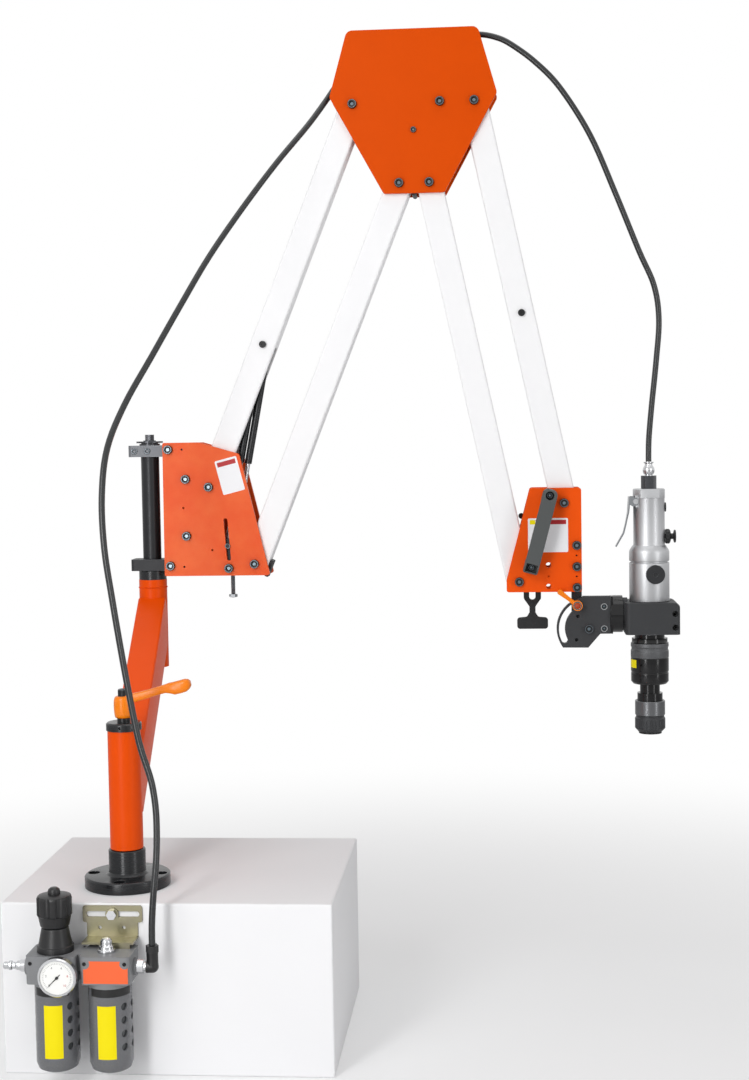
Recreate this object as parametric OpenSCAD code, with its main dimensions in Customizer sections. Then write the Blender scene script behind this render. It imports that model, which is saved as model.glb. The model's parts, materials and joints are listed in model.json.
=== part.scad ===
/* [Base and column] */
// Diameter of the flange that bolts to the bench
flange_dia = 132; // [128:1:150]
// Thickness of the flange
flange_thick = 18; // [14:1:20]
// Bolt circle of the flange
flange_pcd = 106; // [100:1:110]
// Diameter of the flange's bolt holes
flange_hole_dia = 11; // [9:0.5:12]
// Diameter of the round hub on the flange
hub_dia = 57; // [54:1:62]
// Height of the hub above the bench
hub_top = 57; // [50:1:60]
// Diameter of the fixed post inside the lower tube
post_dia = 38; // [34:1:40]
// Outer diameter of the lower column tube
lower_dia = 51; // [48:1:54]
// Height of the lower tube's top above the bench
lower_top = 242.5; // [234:0.5:250]
// Shoulder axis to the right of the base axis
shoulder_x = -32; // [-40:1:-20]
// Shoulder axis behind the base axis
arm_y = 380; // [340:5:420]
// Width of the diagonal brace tube
brace_width = 48; // [44:1:48]
// Height of the brace tube, across its slope
brace_height = 84; // [70:2:90]
// Wall of the brace tube
brace_wall = 4; // [3:0.5:5]
// Height of the brace's centre at the base axis
brace_low = 143; // [138:1:150]
// Outer diameter of the upper column tube
upper_dia = 49; // [48.5:0.5:54]
// Bottom end of the upper column tube
upper_bottom = 288; // [270:2:292]
// Top end of the upper column tube
upper_top = 443; // [440:1:446]
// Diameter of the shoulder shaft
shaft_dia = 32; // [28:1:34]
// Radial clearance of the running fits
run_gap = 0.05; // [0.03:0.01:0.08]

/* [Shoulder] */
// Height of the lower shoulder block
block_low = 459; // [459:1:462]
// Height of the upper shoulder block
block_high = 659; // [655:1:662]
// Thickness of the shoulder blocks
block_thick = 20; // [18:1:20]
// Thickness of every side plate
plate_thick = 6; // [5:0.5:8]
// Side play of a link between its plates
link_play = 1; // [0.5:0.25:1.5]
// Upper link's lower pivot, from the shoulder axis
pivot_x = 108; // [104:1:110]
// Height of the upper link's lower pivot
pivot_z = 605; // [600:1:608]

/* [Arm] */
// Distance between the two pivots of each link
link_length = 700; // [640:10:740]
// Width of the links, seen from the front
link_width = 44; // [40:1:45]
// Depth of the links
link_depth = 40; // [36:1:44]
// Wall of the links
link_wall = 3; // [2:0.5:4]
// Sideways distance between the pivots of a pair of links
pair_x = 78; // [76:1:84]
// Height difference between the pivots of a pair of links
pair_z = 135; // [130:1:140]
// Lean of the upper arm from vertical
upper_lean = 22; // [16:1:28]
// Lean of the forearm from vertical
fore_lean = 12; // [8:1:18]
// Distance between the two lower pivots of the elbow
elbow_gap = 51.5; // [48:0.5:64]
// Diameter of the pivot bolts
pivot_dia = 12; // [10:0.5:13]
// Distance of the spring pin from the upper link's pivot
spring_pin = 264.8; // [250:1:275]
// Diameter of a gas spring's tube
gas_dia = 12.5; // [11:0.5:13]
// Diameter of a gas spring's rod
gas_rod_dia = 8; // [6:0.5:9]
// Centre distance of the two gas springs
gas_pitch = 13.5; // [13.2:0.1:14]

/* [Head and tool] */
// Tool axis, to the right of the forearm's lower pivot
tool_x = 145.8; // [142:0.5:150]
// Tilt pivot, to the right of the forearm's lower pivot
tilt_x = 40.4; // [38:0.2:42]
// Tilt pivot, below the forearm's lower pivot
tilt_z = 217; // [214:1:220]
// Radius of the tilt plate's rim
tilt_rim = 55; // [54:0.5:58]
// Radius of the tilt slot's centre line
tilt_slot = 46; // [45:0.5:47]
// Width of the tilt slot
tilt_slot_width = 10.4; // [10.2:0.1:11]
// Radius of the swivel flange
swivel_radius = 32; // [30:0.5:34]
// Diameter of the motor's lower body
motor_dia = 68.6; // [64:0.2:72]
// Diameter of the motor's upper body
grip_dia = 53.6; // [50:0.4:56]
// Diameter of the motor's nose in the clamp
nose_dia = 52; // [48:1:54]
// Diameter of the bore for the tap adapter
adapter_bore = 31; // [28:0.5:32]
// Depth of the bore for the tap adapter
adapter_depth = 35; // [30:1:38]
// Outer diameter of the chuck's sliding sleeve
sleeve_dia = 52; // [48:0.4:56]

/* [Air service unit] */
// Bench front edge, in front of the base axis
bench_edge = 105; // [100:1:115]
// Axis of the regulator, left of the base axis
reg_x = -74.5; // [-80:0.5:-70]
// Distance between the two air unit axes
frl_pitch = 80; // [80:1:84]
// Width of each air unit body
frl_width = 74; // [68:1:76]
// Depth of each air unit body
frl_depth = 64; // [60:1:68]
// Axis of the air unit, in front of the bench edge
frl_out = 45; // [40:1:50]
// Top of the air unit bodies, below the bench top
frl_top = 58; // [55:1:64]
// Diameter of the bowl guards
bowl_dia = 64; // [58:1:66]
// Height of the bowl guards
bowl_height = 125; // [116:1:132]
// Diameter of the pressure gauge
gauge_dia = 57; // [48:1:58]
// Outer diameter of the air hose
hose_dia = 10; // [8:0.5:11]

/* [Hidden] */
$fn = 48;

// shared depths of the arm, from its middle plane
plate_in = link_depth / 2 + link_play;
plate_out = plate_in + plate_thick;
pin_r = pivot_dia / 2;
shaft_r = shaft_dia / 2;
// pivots as [x, z] in the arm's plane
p1 = [shoulder_x + pivot_x, pivot_z];
p2 = p1 + [pair_x, -pair_z];
up_dir = [sin(upper_lean), cos(upper_lean)];
fore_dir = [sin(fore_lean), -cos(fore_lean)];
p3 = p1 + link_length * up_dir;
p4 = p2 + link_length * up_dir;
elbow_span = elbow_gap + 2 * pair_x;
p5 = p3 + [elbow_span, 0];
p6 = p5 + [-pair_x, -pair_z];
p7 = p5 + link_length * fore_dir;
p8 = p6 + link_length * fore_dir;
elbow_mid = (p3[0] + p5[0]) / 2;
// rubber stop between the upper ends of the two inner links
stop_drop = 17;
stop_play = 3.7;
stop_left = p4[0] + link_width / 2 / cos(upper_lean) - stop_drop * tan(upper_lean);
stop_right = p6[0] - link_width / 2 / cos(fore_lean) + stop_drop * tan(fore_lean);
// gas spring line, from the anchor to the pin in the upper link
anchor = p1 + [31.6, -103.3];
gas_top = p1 + spring_pin * up_dir;
gas_len = norm(gas_top - anchor);
gas_lean = atan2(gas_top[0] - anchor[0], gas_top[1] - anchor[1]);
eye_gap = 4.7;
gas_pin_r = 4;
// socket heads of the plate screws
head_r = 7.8;
head_h = 6.6;
screw_r = 4;
// column
brace_turn = atan2(-shoulder_x, arm_y);
brace_run = norm([shoulder_x, arm_y]);
brace_high = brace_low + 233;
brace_slope = atan2(brace_high - brace_low, brace_run);
stem_r = 10;
stud_r = 6;
cap_thick = 12;
cap_r = lower_dia / 2 + 1.8;
ring_gap = 1;
// head
tilt_c = p7 + [tilt_x, -tilt_z];
tool_c = p7[0] + tool_x;
stud_angle = 115.5;
// farthest tilt of the head
tilt_travel = 90;
stud_c = tilt_c + tilt_slot * [cos(stud_angle), sin(stud_angle)];
wrist_base = p7[1] - 153;
wrist_right = p7[0] + 29.2;
bolt_x = p7[0] + 20.8;
roll_z = tilt_c[1] + 23;
swivel_x = tilt_c[0] + 58.8;
clamp_left = swivel_x + 0.3;
clamp_low = roll_z - 33;
clamp_high = roll_z + 21.7;
lower_high = clamp_high + 68;
grip_low = lower_high + 31;
grip_high = grip_low + 95;
reverse_z = grip_high - 82.5;
trigger_p = [tool_c - grip_dia / 2 + 3.4, grip_high - 21.6];
chuck_z = clamp_low - 10;
motor_r = motor_dia / 2;
grip_r = grip_dia / 2;
nose_r = nose_dia / 2;
sleeve_r = sleeve_dia / 2;
shank_r = adapter_bore / 2 + 4.5;
chuck_tip = chuck_z - 165;
// air unit
lub_x = reg_x + frl_pitch;
frl_y = -bench_edge - frl_out;
frl_low = frl_top + 41;
bowl_r = bowl_dia / 2;
bowl_top = -frl_low - 8;
gauge_z = -frl_top - 25.5;
gauge_x = reg_x + 14;
port_z = -frl_top - 23;
port_left = reg_x - frl_width / 2 - 7;
out_x = lub_x + frl_width / 2;
hose_x = out_x + 27;

// ---------- shared shapes ----------
function arc(c, r, a0, a1, n) = [for (i = [0:n]) c + r * [cos(a0 + (a1 - a0) * i / n), sin(a0 + (a1 - a0) * i / n)]];
// polygon points p with every corner k rounded to radius r[k]
function rounded(p, r, n = 4) = [
    for (k = [0:len(p) - 1])
    let (b = p[k], a = p[(k + len(p) - 1) % len(p)], c = p[(k + 1) % len(p)])
    let (u = (a - b) / norm(a - b), v = (c - b) / norm(c - b), h = acos(u * v) / 2)
    let (m = b + (u + v) / norm(u + v) * r[k] / sin(h), t = r[k] / tan(h))
    let (s = b + u * t - m, e = b + v * t - m)
    for (i = [0:n])
    let (w = s * (1 - i / n) + e * i / n)
    m + w / norm(w) * r[k]
];

module yrod(r, y0, y1) {
    translate([0, y1, 0])
    rotate([90, 0, 0])
    cylinder(r = r, h = y1 - y0);
}

module xrod(r, x0, x1) {
    translate([x0, 0, 0])
    rotate([0, 90, 0])
    cylinder(r = r, h = x1 - x0);
}

module at(p) {
    translate([p[0], arm_y, p[1]])
    children();
}

module sheet_xz(points, y0, y1) {
    translate([0, y1, 0])
    rotate([90, 0, 0])
    linear_extrude(y1 - y0)
    polygon(points);
}

module round_rect(w, d, r) {
    square([w - 2 * r, d], center = true);
    square([w, d - 2 * r], center = true);
    for (x = [-1, 1], y = [-1, 1])
    translate([x * (w / 2 - r), y * (d / 2 - r)])
    circle(r);
}

// bolt along Y with a socket head in front and a nut behind
module through_bolt(r, y0, y1, nut = true, head = head_r, high = head_h) {
    difference() {
        union() {
            yrod(head, y0 - high, y0);
            yrod(r, y0 - 0.5, y1 + (nut ? high * 0.8 : 0));
            if (nut) {
                translate([0, y1 + high * 0.8, 0])
                rotate([90, 0, 0])
                cylinder(r = head * 1.1, h = high * 0.8, $fn = 6);
            }
        }
        translate([0, y0 - high * 0.5, 0])
        rotate([90, 0, 0])
        cylinder(r = head * 0.55, h = high, $fn = 6);
    }
}

// rectangular link tube from pivot to pivot, along Z
module link_tube(low, high) {
    w = link_width;
    d = link_depth;
    difference() {
        union() {
            difference() {
                intersection() {
                    translate([0, 0, -low])
                    linear_extrude(link_length + low + high)
                    round_rect(w, d, 4);
                    union() {
                        translate([-w / 2, -d / 2, 0])
                        cube([w, d, link_length]);
                        yrod(w / 2, -d / 2, d / 2);
                        translate([0, 0, link_length])
                        yrod(w / 2, -d / 2, d / 2);
                    }
                }
                translate([-w / 2 + link_wall, -d / 2 + link_wall, -low - 1])
                cube([w - 2 * link_wall, d - 2 * link_wall, link_length + low + high + 2]);
            }
            for (z = [0, link_length])
            translate([0, 0, z])
            yrod(pin_r + 4, -d / 2, d / 2);
        }
        for (z = [0, link_length])
        translate([0, 0, z])
        yrod(pin_r + run_gap, -d, d);
    }
}

// ---------- base ----------
module base_flange() {
    color("#2b2b2d")
    difference() {
        rotate_extrude()
        polygon([
            [post_dia / 2, 0], [flange_dia / 2, 0], [flange_dia / 2, flange_thick - 2],
            [flange_dia / 2 - 2, flange_thick], [hub_dia / 2 + 4, flange_thick],
            [hub_dia / 2, flange_thick + 4], [hub_dia / 2, hub_top - 1.5],
            [hub_dia / 2 - 1.5, hub_top], [post_dia / 2, hub_top]
        ]);
        for (a = [0:90:270])
        rotate([0, 0, a])
        translate([flange_pcd / 2, 0, 0]) {
            translate([0, 0, -1])
            cylinder(d = flange_hole_dia, h = flange_thick + 2);
            translate([0, 0, flange_thick - 6])
            cylinder(d = flange_hole_dia + 7, h = 7);
        }
    }
}

module base_post() {
    color("#4a4b4f")
    rotate_extrude()
    polygon([
        [0, 2], [post_dia / 2 - 1, 2], [post_dia / 2 - 0.05, 3], [post_dia / 2 - 0.05, lower_top - 2],
        [post_dia / 2 - 2, lower_top], [stem_r, lower_top], [stem_r, lower_top + cap_thick + 6],
        [stud_r, lower_top + cap_thick + 6.7], [stud_r, lower_top + 52], [0, lower_top + 52]
    ]);
}

// ---------- column ----------
module lower_tube() {
    color("#e85500")
    difference() {
        translate([0, 0, hub_top + ring_gap])
        cylinder(d = lower_dia, h = lower_top - hub_top - ring_gap);
        translate([0, 0, hub_top])
        cylinder(d = post_dia + 2 * run_gap, h = lower_top);
    }
}

module brace_bar(w, h, extra) {
    translate([0, 0, brace_low])
    rotate([brace_slope - 90, 0, 0])
    translate([0, 0, -extra])
    linear_extrude(brace_run / cos(brace_slope) + 2 * extra)
    round_rect(w, h, min(w, h) / 12);
}

module brace_tube() {
    color("#e85500")
    rotate([0, 0, brace_turn])
    difference() {
        brace_bar(brace_width, brace_height, 0);
        brace_bar(brace_width - 2 * brace_wall, brace_height - 2 * brace_wall, 1);
        translate([0, 0, hub_top])
        cylinder(d = lower_dia, h = lower_top);
        translate([0, brace_run, upper_bottom - 20])
        cylinder(d = upper_dia, h = upper_top);
        translate([-50, -100, 0])
        cube([100, 100, 400]);
        translate([-50, brace_run, 0])
        cube([100, 100, 600]);
    }
}

module upper_tube() {
    color("#e85500")
    translate([shoulder_x, arm_y, 0])
    difference() {
        translate([0, 0, upper_bottom])
        cylinder(d = upper_dia, h = upper_top - upper_bottom);
        translate([0, 0, upper_bottom - 1])
        cylinder(r = shaft_r + run_gap, h = upper_top);
        translate([0, 0, upper_bottom + 30])
        cylinder(r = shaft_r + 4, h = upper_top - upper_bottom - 60);
        // weld groove of the bearing seat
        translate([0, 0, upper_top - 14])
        rotate_extrude()
        translate([upper_dia / 2, 0])
        circle(0.8, $fn = 24);
    }
}

module column_rings() {
    color("#232325") {
        difference() {
            rotate_extrude()
            polygon([
                [stem_r + run_gap, lower_top], [cap_r, lower_top], [cap_r, lower_top + cap_thick - 2],
                [cap_r - 2, lower_top + cap_thick], [stem_r + run_gap, lower_top + cap_thick]
            ]);
            translate([0, -cap_r - 1, lower_top + cap_thick / 2])
            yrod(2.5, 0, 6);
        }
        translate([shoulder_x, arm_y, upper_top])
        difference() {
            cylinder(d = upper_dia - 1, h = block_low - upper_top - ring_gap);
            translate([0, 0, -1])
            cylinder(r = shaft_r + run_gap, h = 30);
        }
    }
}

// cast hand lever: a swelling hub, a straight rising arm and a deeper grip
lever_z = lower_top + cap_thick + 7;
lever_hub_h = 33.4;
module clamp_lever() {
    side = rounded([
        [0, 20], [13, 21], [18.7, 24], [68, 38.5], [79.6, 34.7], [101.9, 40.5], [105.7, 51.3],
        [100, 59.6], [15.1, 36.9], [9, lever_hub_h], [0, lever_hub_h]
    ], [0.5, 4, 6, 4, 4, 4, 4, 3, 5, 2, 0.5]);
    top = [[0, -8], [50, -6.6], [76, -9], [107, -8], [107, 8], [76, 9], [50, 6.6], [0, 8]];
    color("#f78a0a")
    translate([0, 0, lever_z])
    difference() {
        union() {
            rotate_extrude()
            polygon([[0, 0], [12.5, 0], [13.4, 1.5], [14.6, 12], [14.8, 22], [14, 30], [11.5, lever_hub_h],
                [0, lever_hub_h]]);
            intersection() {
                sheet_xz(side, -9, 9);
                linear_extrude(70)
                polygon(top);
            }
        }
        translate([0, 0, -1])
        cylinder(r = stud_r + run_gap, h = lever_hub_h + 20);
    }
}

module clamp_screw() {
    color("#2d2d30")
    translate([0, 0, lever_z + lever_hub_h])
    difference() {
        cylinder(r = 8, h = 10.5);
        translate([0, 0, 6])
        cylinder(r = 3.6, h = 8, $fn = 6);
    }
}

// ---------- shoulder ----------
module shoulder_shaft() {
    color("#26272a")
    translate([shoulder_x, arm_y, 0])
    rotate_extrude()
    polygon([
        [0, upper_bottom - 5], [shaft_r - 2, upper_bottom - 5], [shaft_r, upper_bottom - 3],
        [shaft_r, block_high + block_thick], [0, block_high + block_thick]
    ]);
}

module shaft_end_bolt() {
    z = block_high + block_thick;
    color("#3a3b3d")
    translate([shoulder_x, arm_y, z]) {
        cylinder(r = 18, h = 3);
        translate([0, 0, 3])
        cylinder(r = 15, h = 1.2);
        translate([0, 0, 4.2])
        cylinder(r = 23.3, h = 3);
        translate([0, 0, 7.2])
        cylinder(r = 11, h = 1.6);
        translate([0, 0, 8.8])
        cylinder(r = 8.1, h = 10, $fn = 6);
    }
}

// plate screws of the two blocks, as [x, z]
block_screw_x = shoulder_x + 38;
function block_screw(z) = [block_screw_x, z + block_thick / 2 + (z == block_high ? 2 : -1)];
block_left = shoulder_x - 34.5;
block_round = 6;
module shoulder_block(z, split) {
    difference() {
        translate([0, arm_y, z])
        linear_extrude(block_thick)
        difference() {
            union() {
                translate([block_left + block_round, -plate_in])
                square([shoulder_x + 74 - block_left - block_round, 2 * plate_in]);
                for (y = [-1, 1])
                translate([block_left + block_round, y * (plate_in - block_round)])
                circle(block_round);
                translate([block_left, block_round - plate_in])
                square([12, 2 * (plate_in - block_round)]);
            }
            translate([shoulder_x, 0])
            circle(shaft_r + 0.02);
            if (split) {
                translate([block_left - 1, -1.5])
                square([shoulder_x - block_left, 3]);
            }
        }
        if (split) {
            for (x = clamp_bolts)
            at([x, z + block_thick / 2])
            yrod(4.2, -plate_in - 1, -plate_in + 8);
        }
        at(block_screw(z))
        yrod(screw_r + 0.05, -plate_in - 1, plate_in + 1);
    }
}
clamp_bolts = [shoulder_x - 23, shoulder_x];

module shoulder_lower_block() {
    color("#2c2d30")
    shoulder_block(block_low, false);
}

module shoulder_upper_block() {
    color("#6f7175")
    shoulder_block(block_high, true);
}

spacer_points = [p1 + [-40.4, 14.1], p1 + [-40.4, -85], p2 + [-45, -7]];
slot_r = 3.5;
slot_low = anchor + [1.5, -22];
slot_high = anchor + [-3.2, 45];
slot_turn = atan2(slot_high[1] - slot_low[1], slot_high[0] - slot_low[0]);
module shoulder_plate(y0, y1) {
    outline = rounded([
        [shoulder_x + 27, block_low - 9], [p2[0] + 27, block_low - 9],
        [p1[0] + 54.5, p1[1] + 57], [p1[0] - 17, block_high + block_thick + 4],
        [shoulder_x + 28, block_high + block_thick + 4]
    ], [3, 4, 6, 6, 3]);
    difference() {
        translate([0, arm_y, 0])
        sheet_xz(outline, y0, y1);
        for (p = [p1, p2])
        at(p)
        yrod(pin_r + 0.02, y0 - 1, y1 + 1);
        for (p = concat(spacer_points, [block_screw(block_low), block_screw(block_high)]))
        at(p)
        yrod(screw_r + 0.02, y0 - 1, y1 + 1);
        // dowel holes
        for (p = [block_screw(block_high) + [24, 0], block_screw(block_low) + [24, -2], p1 + [-45.4, -36],
            p1 + [4.3, -110]])
        at(p)
        yrod(2, y0 - 1, y1 + 1);
        // slot that the spring anchor slides in
        translate([0, arm_y, 0])
        sheet_xz(concat(arc(slot_high, slot_r, slot_turn - 90, slot_turn + 90, 12),
            arc(slot_low, slot_r, slot_turn + 90, slot_turn + 270, 12)), y0 - 1, y1 + 1);
    }
}

module shoulder_plate_front() {
    color("#e2561a")
    shoulder_plate(-plate_out, -plate_in);
}

module shoulder_plate_back() {
    color("#e2561a")
    shoulder_plate(plate_in, plate_out);
}

module spacer_tube(p, r, bore) {
    at(p)
    difference() {
        yrod(r, -plate_in, plate_in);
        yrod(bore, -plate_in - 1, plate_in + 1);
    }
}

module shoulder_spacers() {
    color("#8d8f92") {
        for (p = [spacer_points[0], spacer_points[1]])
        spacer_tube(p, 8, 4.05);
        // cross block that the adjusting bolt is threaded into
        at(spacer_points[2])
        difference() {
            translate([-13, -plate_in, -8])
            cube([26, 2 * plate_in, 16]);
            for (y = [-plate_in - 1, plate_in - 12])
            yrod(4.05, y, y + 13);
            translate([anchor[0] + 3.4 - spacer_points[2][0], 0, -20])
            cylinder(r = 4 + run_gap, h = 40);
        }
    }
}

module shoulder_screws() {
    color("#1d1e20") {
        for (p = [p1, p2])
        at(p)
        through_bolt(pin_r, -plate_out, plate_out);
        for (p = [spacer_points[0], spacer_points[1], block_screw(block_low), block_screw(block_high)])
        at(p)
        through_bolt(screw_r, -plate_out, plate_out);
        // short screws of the cross block and of the split clamp
        for (s = [0, 180])
        at(spacer_points[2])
        rotate([0, 0, s])
        through_bolt(screw_r, -plate_out, -plate_in + 10, nut = false);
        for (x = clamp_bolts)
        at([x, block_high + block_thick / 2])
        yrod(4.15, -plate_in + 0.5, -plate_in + (x == shoulder_x ? 3.5 : 8));
    }
}

module spring_anchor() {
    color("#5a5c60")
    at(anchor) {
        for (s = [-1, 1])
        translate([0, s * (plate_in + 8.5) / 2, 0])
        translate([-12, -(plate_in - 8.5) / 2 + 0.2, -14])
        cube([24, plate_in - 8.9, 26]);
        translate([-12, -plate_in + 0.4, -25])
        cube([24, 2 * plate_in - 0.8, 11.2]);
        yrod(5, -9, 9);
        yrod(3.2, -plate_out - 0.5, -plate_in + 1);
        yrod(3.2, plate_in - 1, plate_out + 0.5);
        yrod(4.6, -plate_out - 2.5, -plate_out - 0.1);
        yrod(4.6, plate_out + 0.1, plate_out + 2.5);
    }
}

module spring_adjuster() {
    color("#b9babc")
    translate([anchor[0] + 3.4, arm_y, 0])
    rotate_extrude()
    polygon([
        [0, block_low - 50], [7.5, block_low - 50], [7.5, block_low - 45.5], [4, block_low - 45.5],
        [4, anchor[1] - 26], [3, anchor[1] - 25.2], [0, anchor[1] - 25.2]
    ]);
}

// ---------- upper arm ----------
module upper_link_a() {
    color("#f2f2f2")
    at(p1)
    rotate([0, upper_lean, 0])
    difference() {
        link_tube(16, 22);
        // open channel for the gas springs
        translate([link_width / 2 - link_wall - 1, -12, 22])
        cube([link_wall + 2, 24, spring_pin - 20]);
        translate([0, 0, spring_pin])
        yrod(gas_pin_r + 0.02, -link_depth, link_depth);
    }
}

module upper_link_a_pin() {
    color("#1d1e20")
    at(gas_top)
    rotate([0, upper_lean, 0])
    through_bolt(gas_pin_r, -link_depth / 2, link_depth / 2, head = 6, high = 4);
}

module upper_link_b() {
    color("#f2f2f2")
    at(p2)
    rotate([0, upper_lean, 0])
    link_tube(15, 22);
}

// end plug and rubber buffer of the rear link
module upper_link_b_caps() {
    w = link_width - 2 * link_wall - 0.2;
    d = link_depth - 2 * link_wall - 0.2;
    color("#1b1b1c")
    at(p2)
    rotate([0, upper_lean, 0]) {
        translate([0, 0, 30])
        linear_extrude(6)
        square([w, d], center = true);
        translate([link_width / 2, -14, -15])
        cube([6, 28, 30]);
    }
}

module gas_rods() {
    color("#d9dadc")
    at(anchor)
    rotate([0, gas_lean, 0])
    difference() {
        union() {
            yrod(11.5, -7.5, 7.5);
            translate([-11.5, -7.5, 0])
            cube([23, 15, 18]);
            for (x = [-gas_pitch / 2, gas_pitch / 2])
            translate([x, 0, 10])
            cylinder(d = gas_rod_dia, h = 280 - 10);
        }
        yrod(5 + run_gap, -10, 10);
    }
}

module gas_cylinders() {
    low = 146.7;
    color("#242426")
    at(anchor)
    rotate([0, gas_lean, 0])
    difference() {
        union() {
            for (x = [-gas_pitch / 2, gas_pitch / 2])
            translate([x, 0, 0])
            rotate_extrude()
            polygon([
                [0, low], [gas_dia / 2 - 1, low], [gas_dia / 2, low + 1], [gas_dia / 2, gas_len - 16],
                [gas_dia / 2 - 2, gas_len - 12], [0, gas_len - 12]
            ]);
            translate([-gas_pitch / 2 - 2, -5, gas_len - 18])
            cube([gas_pitch + 4, 10, 12]);
            translate([0, 0, gas_len])
            yrod(gas_pin_r + eye_gap + 4.3, -7.5, 7.5);
        }
        translate([0, 0, gas_len])
        yrod(gas_pin_r + eye_gap, -10, 10);
        for (x = [-gas_pitch / 2, gas_pitch / 2])
        translate([x, 0, low - 1])
        cylinder(d = gas_rod_dia + 2 * run_gap, h = 190);
    }
}

// ---------- elbow ----------
module elbow_plate(y0, y1) {
    z = p3[1];
    m = elbow_mid;
    h = elbow_span / 2;
    outline = rounded([
        [p4[0] - 26.2, p4[1] - 17.5], [p6[0] + 26.2, p4[1] - 17.5], [m + h + 39, z + 12.5],
        [m + h + 7.5, z + 123.5], [m - h - 7.5, z + 123.5], [m - h - 39, z + 12.5]
    ], [6, 6, 8, 12, 12, 8]);
    difference() {
        translate([0, arm_y, 0])
        sheet_xz(outline, y0, y1);
        for (p = [p3, p4, p5, p6])
        at(p)
        yrod(pin_r + 0.02, y0 - 1, y1 + 1);
        for (p = elbow_spacer_points)
        at(p)
        yrod(4.02, y0 - 1, y1 + 1);
    }
}

elbow_spacer_points = [p5 + [-58.3, 0], [elbow_mid, p3[1] - 46.2]];
module elbow_plate_front() {
    color("#e24a00")
    elbow_plate(-plate_out, -plate_in);
}

module elbow_plate_back() {
    color("#e24a00")
    elbow_plate(plate_in, plate_out);
}

module elbow_spacers() {
    color("#1f1f21") {
        spacer_tube(elbow_spacer_points[0], 9, 4.05);
        spacer_tube(elbow_spacer_points[1], 7, 4.05);
        at([(stop_left + stop_right) / 2, p4[1] - stop_drop])
        yrod((stop_right - stop_left) / 2 - stop_play, -plate_in, plate_in);
    }
}

module elbow_screws() {
    color("#1d1e20") {
        for (p = [p3, p4, p5, p6])
        at(p)
        through_bolt(pin_r, -plate_out, plate_out);
        at(elbow_spacer_points[0])
        through_bolt(screw_r, -plate_out, plate_out);
        at(elbow_spacer_points[1])
        through_bolt(screw_r, -plate_out, plate_out, head = 5, high = 3.6);
    }
}

// ---------- forearm ----------
fore_pin = link_length - 367;
module forearm_link_a() {
    color("#f2f2f2")
    at(p7)
    rotate([0, -fore_lean, 0])
    difference() {
        link_tube(16, 22);
        translate([0, 0, fore_pin])
        yrod(gas_pin_r + 0.02, -link_depth, link_depth);
    }
}

module forearm_link_a_pin() {
    color("#1d1e20")
    at(p7 - fore_pin * fore_dir)
    through_bolt(gas_pin_r, -link_depth / 2, link_depth / 2, head = 6, high = 4);
}

module forearm_link_b() {
    color("#f2f2f2")
    at(p8)
    rotate([0, -fore_lean, 0])
    link_tube(16, 22);
}

// ---------- wrist ----------
wrist_bolts = [[bolt_x, p7[1] - 73], [bolt_x, p7[1] - 109.5], [bolt_x, p7[1] - 145.5]];
handle_ends = [p7 + [-24.8, 13.7], p7 + [-57.5, -109]];
module wrist_plate(y0, y1) {
    outline = rounded([
        [p8[0] - 21.8, wrist_base], [wrist_right, wrist_base], [wrist_right, p7[1] + 26],
        [p7[0] - 58, p7[1] + 26], [p8[0] - 21.8, p8[1] + 3]
    ], [4, 4, 5, 5, 4]);
    difference() {
        translate([0, arm_y, 0])
        sheet_xz(outline, y0, y1);
        for (p = [p7, p8])
        at(p)
        yrod(pin_r + 0.02, y0 - 1, y1 + 1);
        for (p = wrist_bolts)
        at(p)
        yrod(4.02, y0 - 1, y1 + 1);
        for (z = [-106.5, -143.5])
        at(p7 + [-27.7, z])
        yrod(4.6, y0 - 1, y1 + 1);
        for (p = [p7 + [20.4, -90.5], p7 + [20.4, -126.5], p7 + [-27.5, -126]])
        at(p)
        yrod(1.6, y0 - 1, y1 + 1);
    }
}

module wrist_plate_front() {
    color("#e24a00")
    difference() {
        wrist_plate(-plate_out, -plate_in);
        for (p = handle_ends)
        at(p)
        yrod(3.02, -plate_out - 1, -plate_in + 1);
    }
}

module wrist_plate_back() {
    color("#e24a00")
    difference() {
        wrist_plate(plate_in, plate_out);
        at(strap_pin)
        yrod(3.02, plate_in - 1, plate_out + 1);
    }
}

strap_pin = p8 + [23, 3];
// the strap hangs behind the nuts of the pivot bolts
strap_front = plate_out + 6;
strap_back = strap_front + 8;
module wrist_screws() {
    color("#1d1e20") {
        for (p = [p7, p8])
        at(p)
        through_bolt(pin_r, -plate_out, plate_out);
        for (p = wrist_bolts)
        at(p)
        through_bolt(screw_r, -plate_out, plate_out);
        // pivot of the tilting head, with its nut behind the block
        at(tilt_c)
        through_bolt(5, sector_front - 0.1, 4);
        for (p = handle_ends)
        at(p) {
            yrod(3, -plate_out - 14.5, -plate_in - 0.5);
            yrod(5, -plate_out - 20, -plate_out - 14);
        }
        // stud that the rubber strap hangs on, behind the back plate
        at(strap_pin) {
            yrod(3, plate_in, strap_back + 1);
            yrod(5, plate_out + 0.02, strap_back + 1);
            yrod(9, strap_back + 1, strap_back + 4);
        }
        at(p7 + [-73, -24])
        yrod(5, plate_out, plate_out + 5);
    }
}

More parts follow.
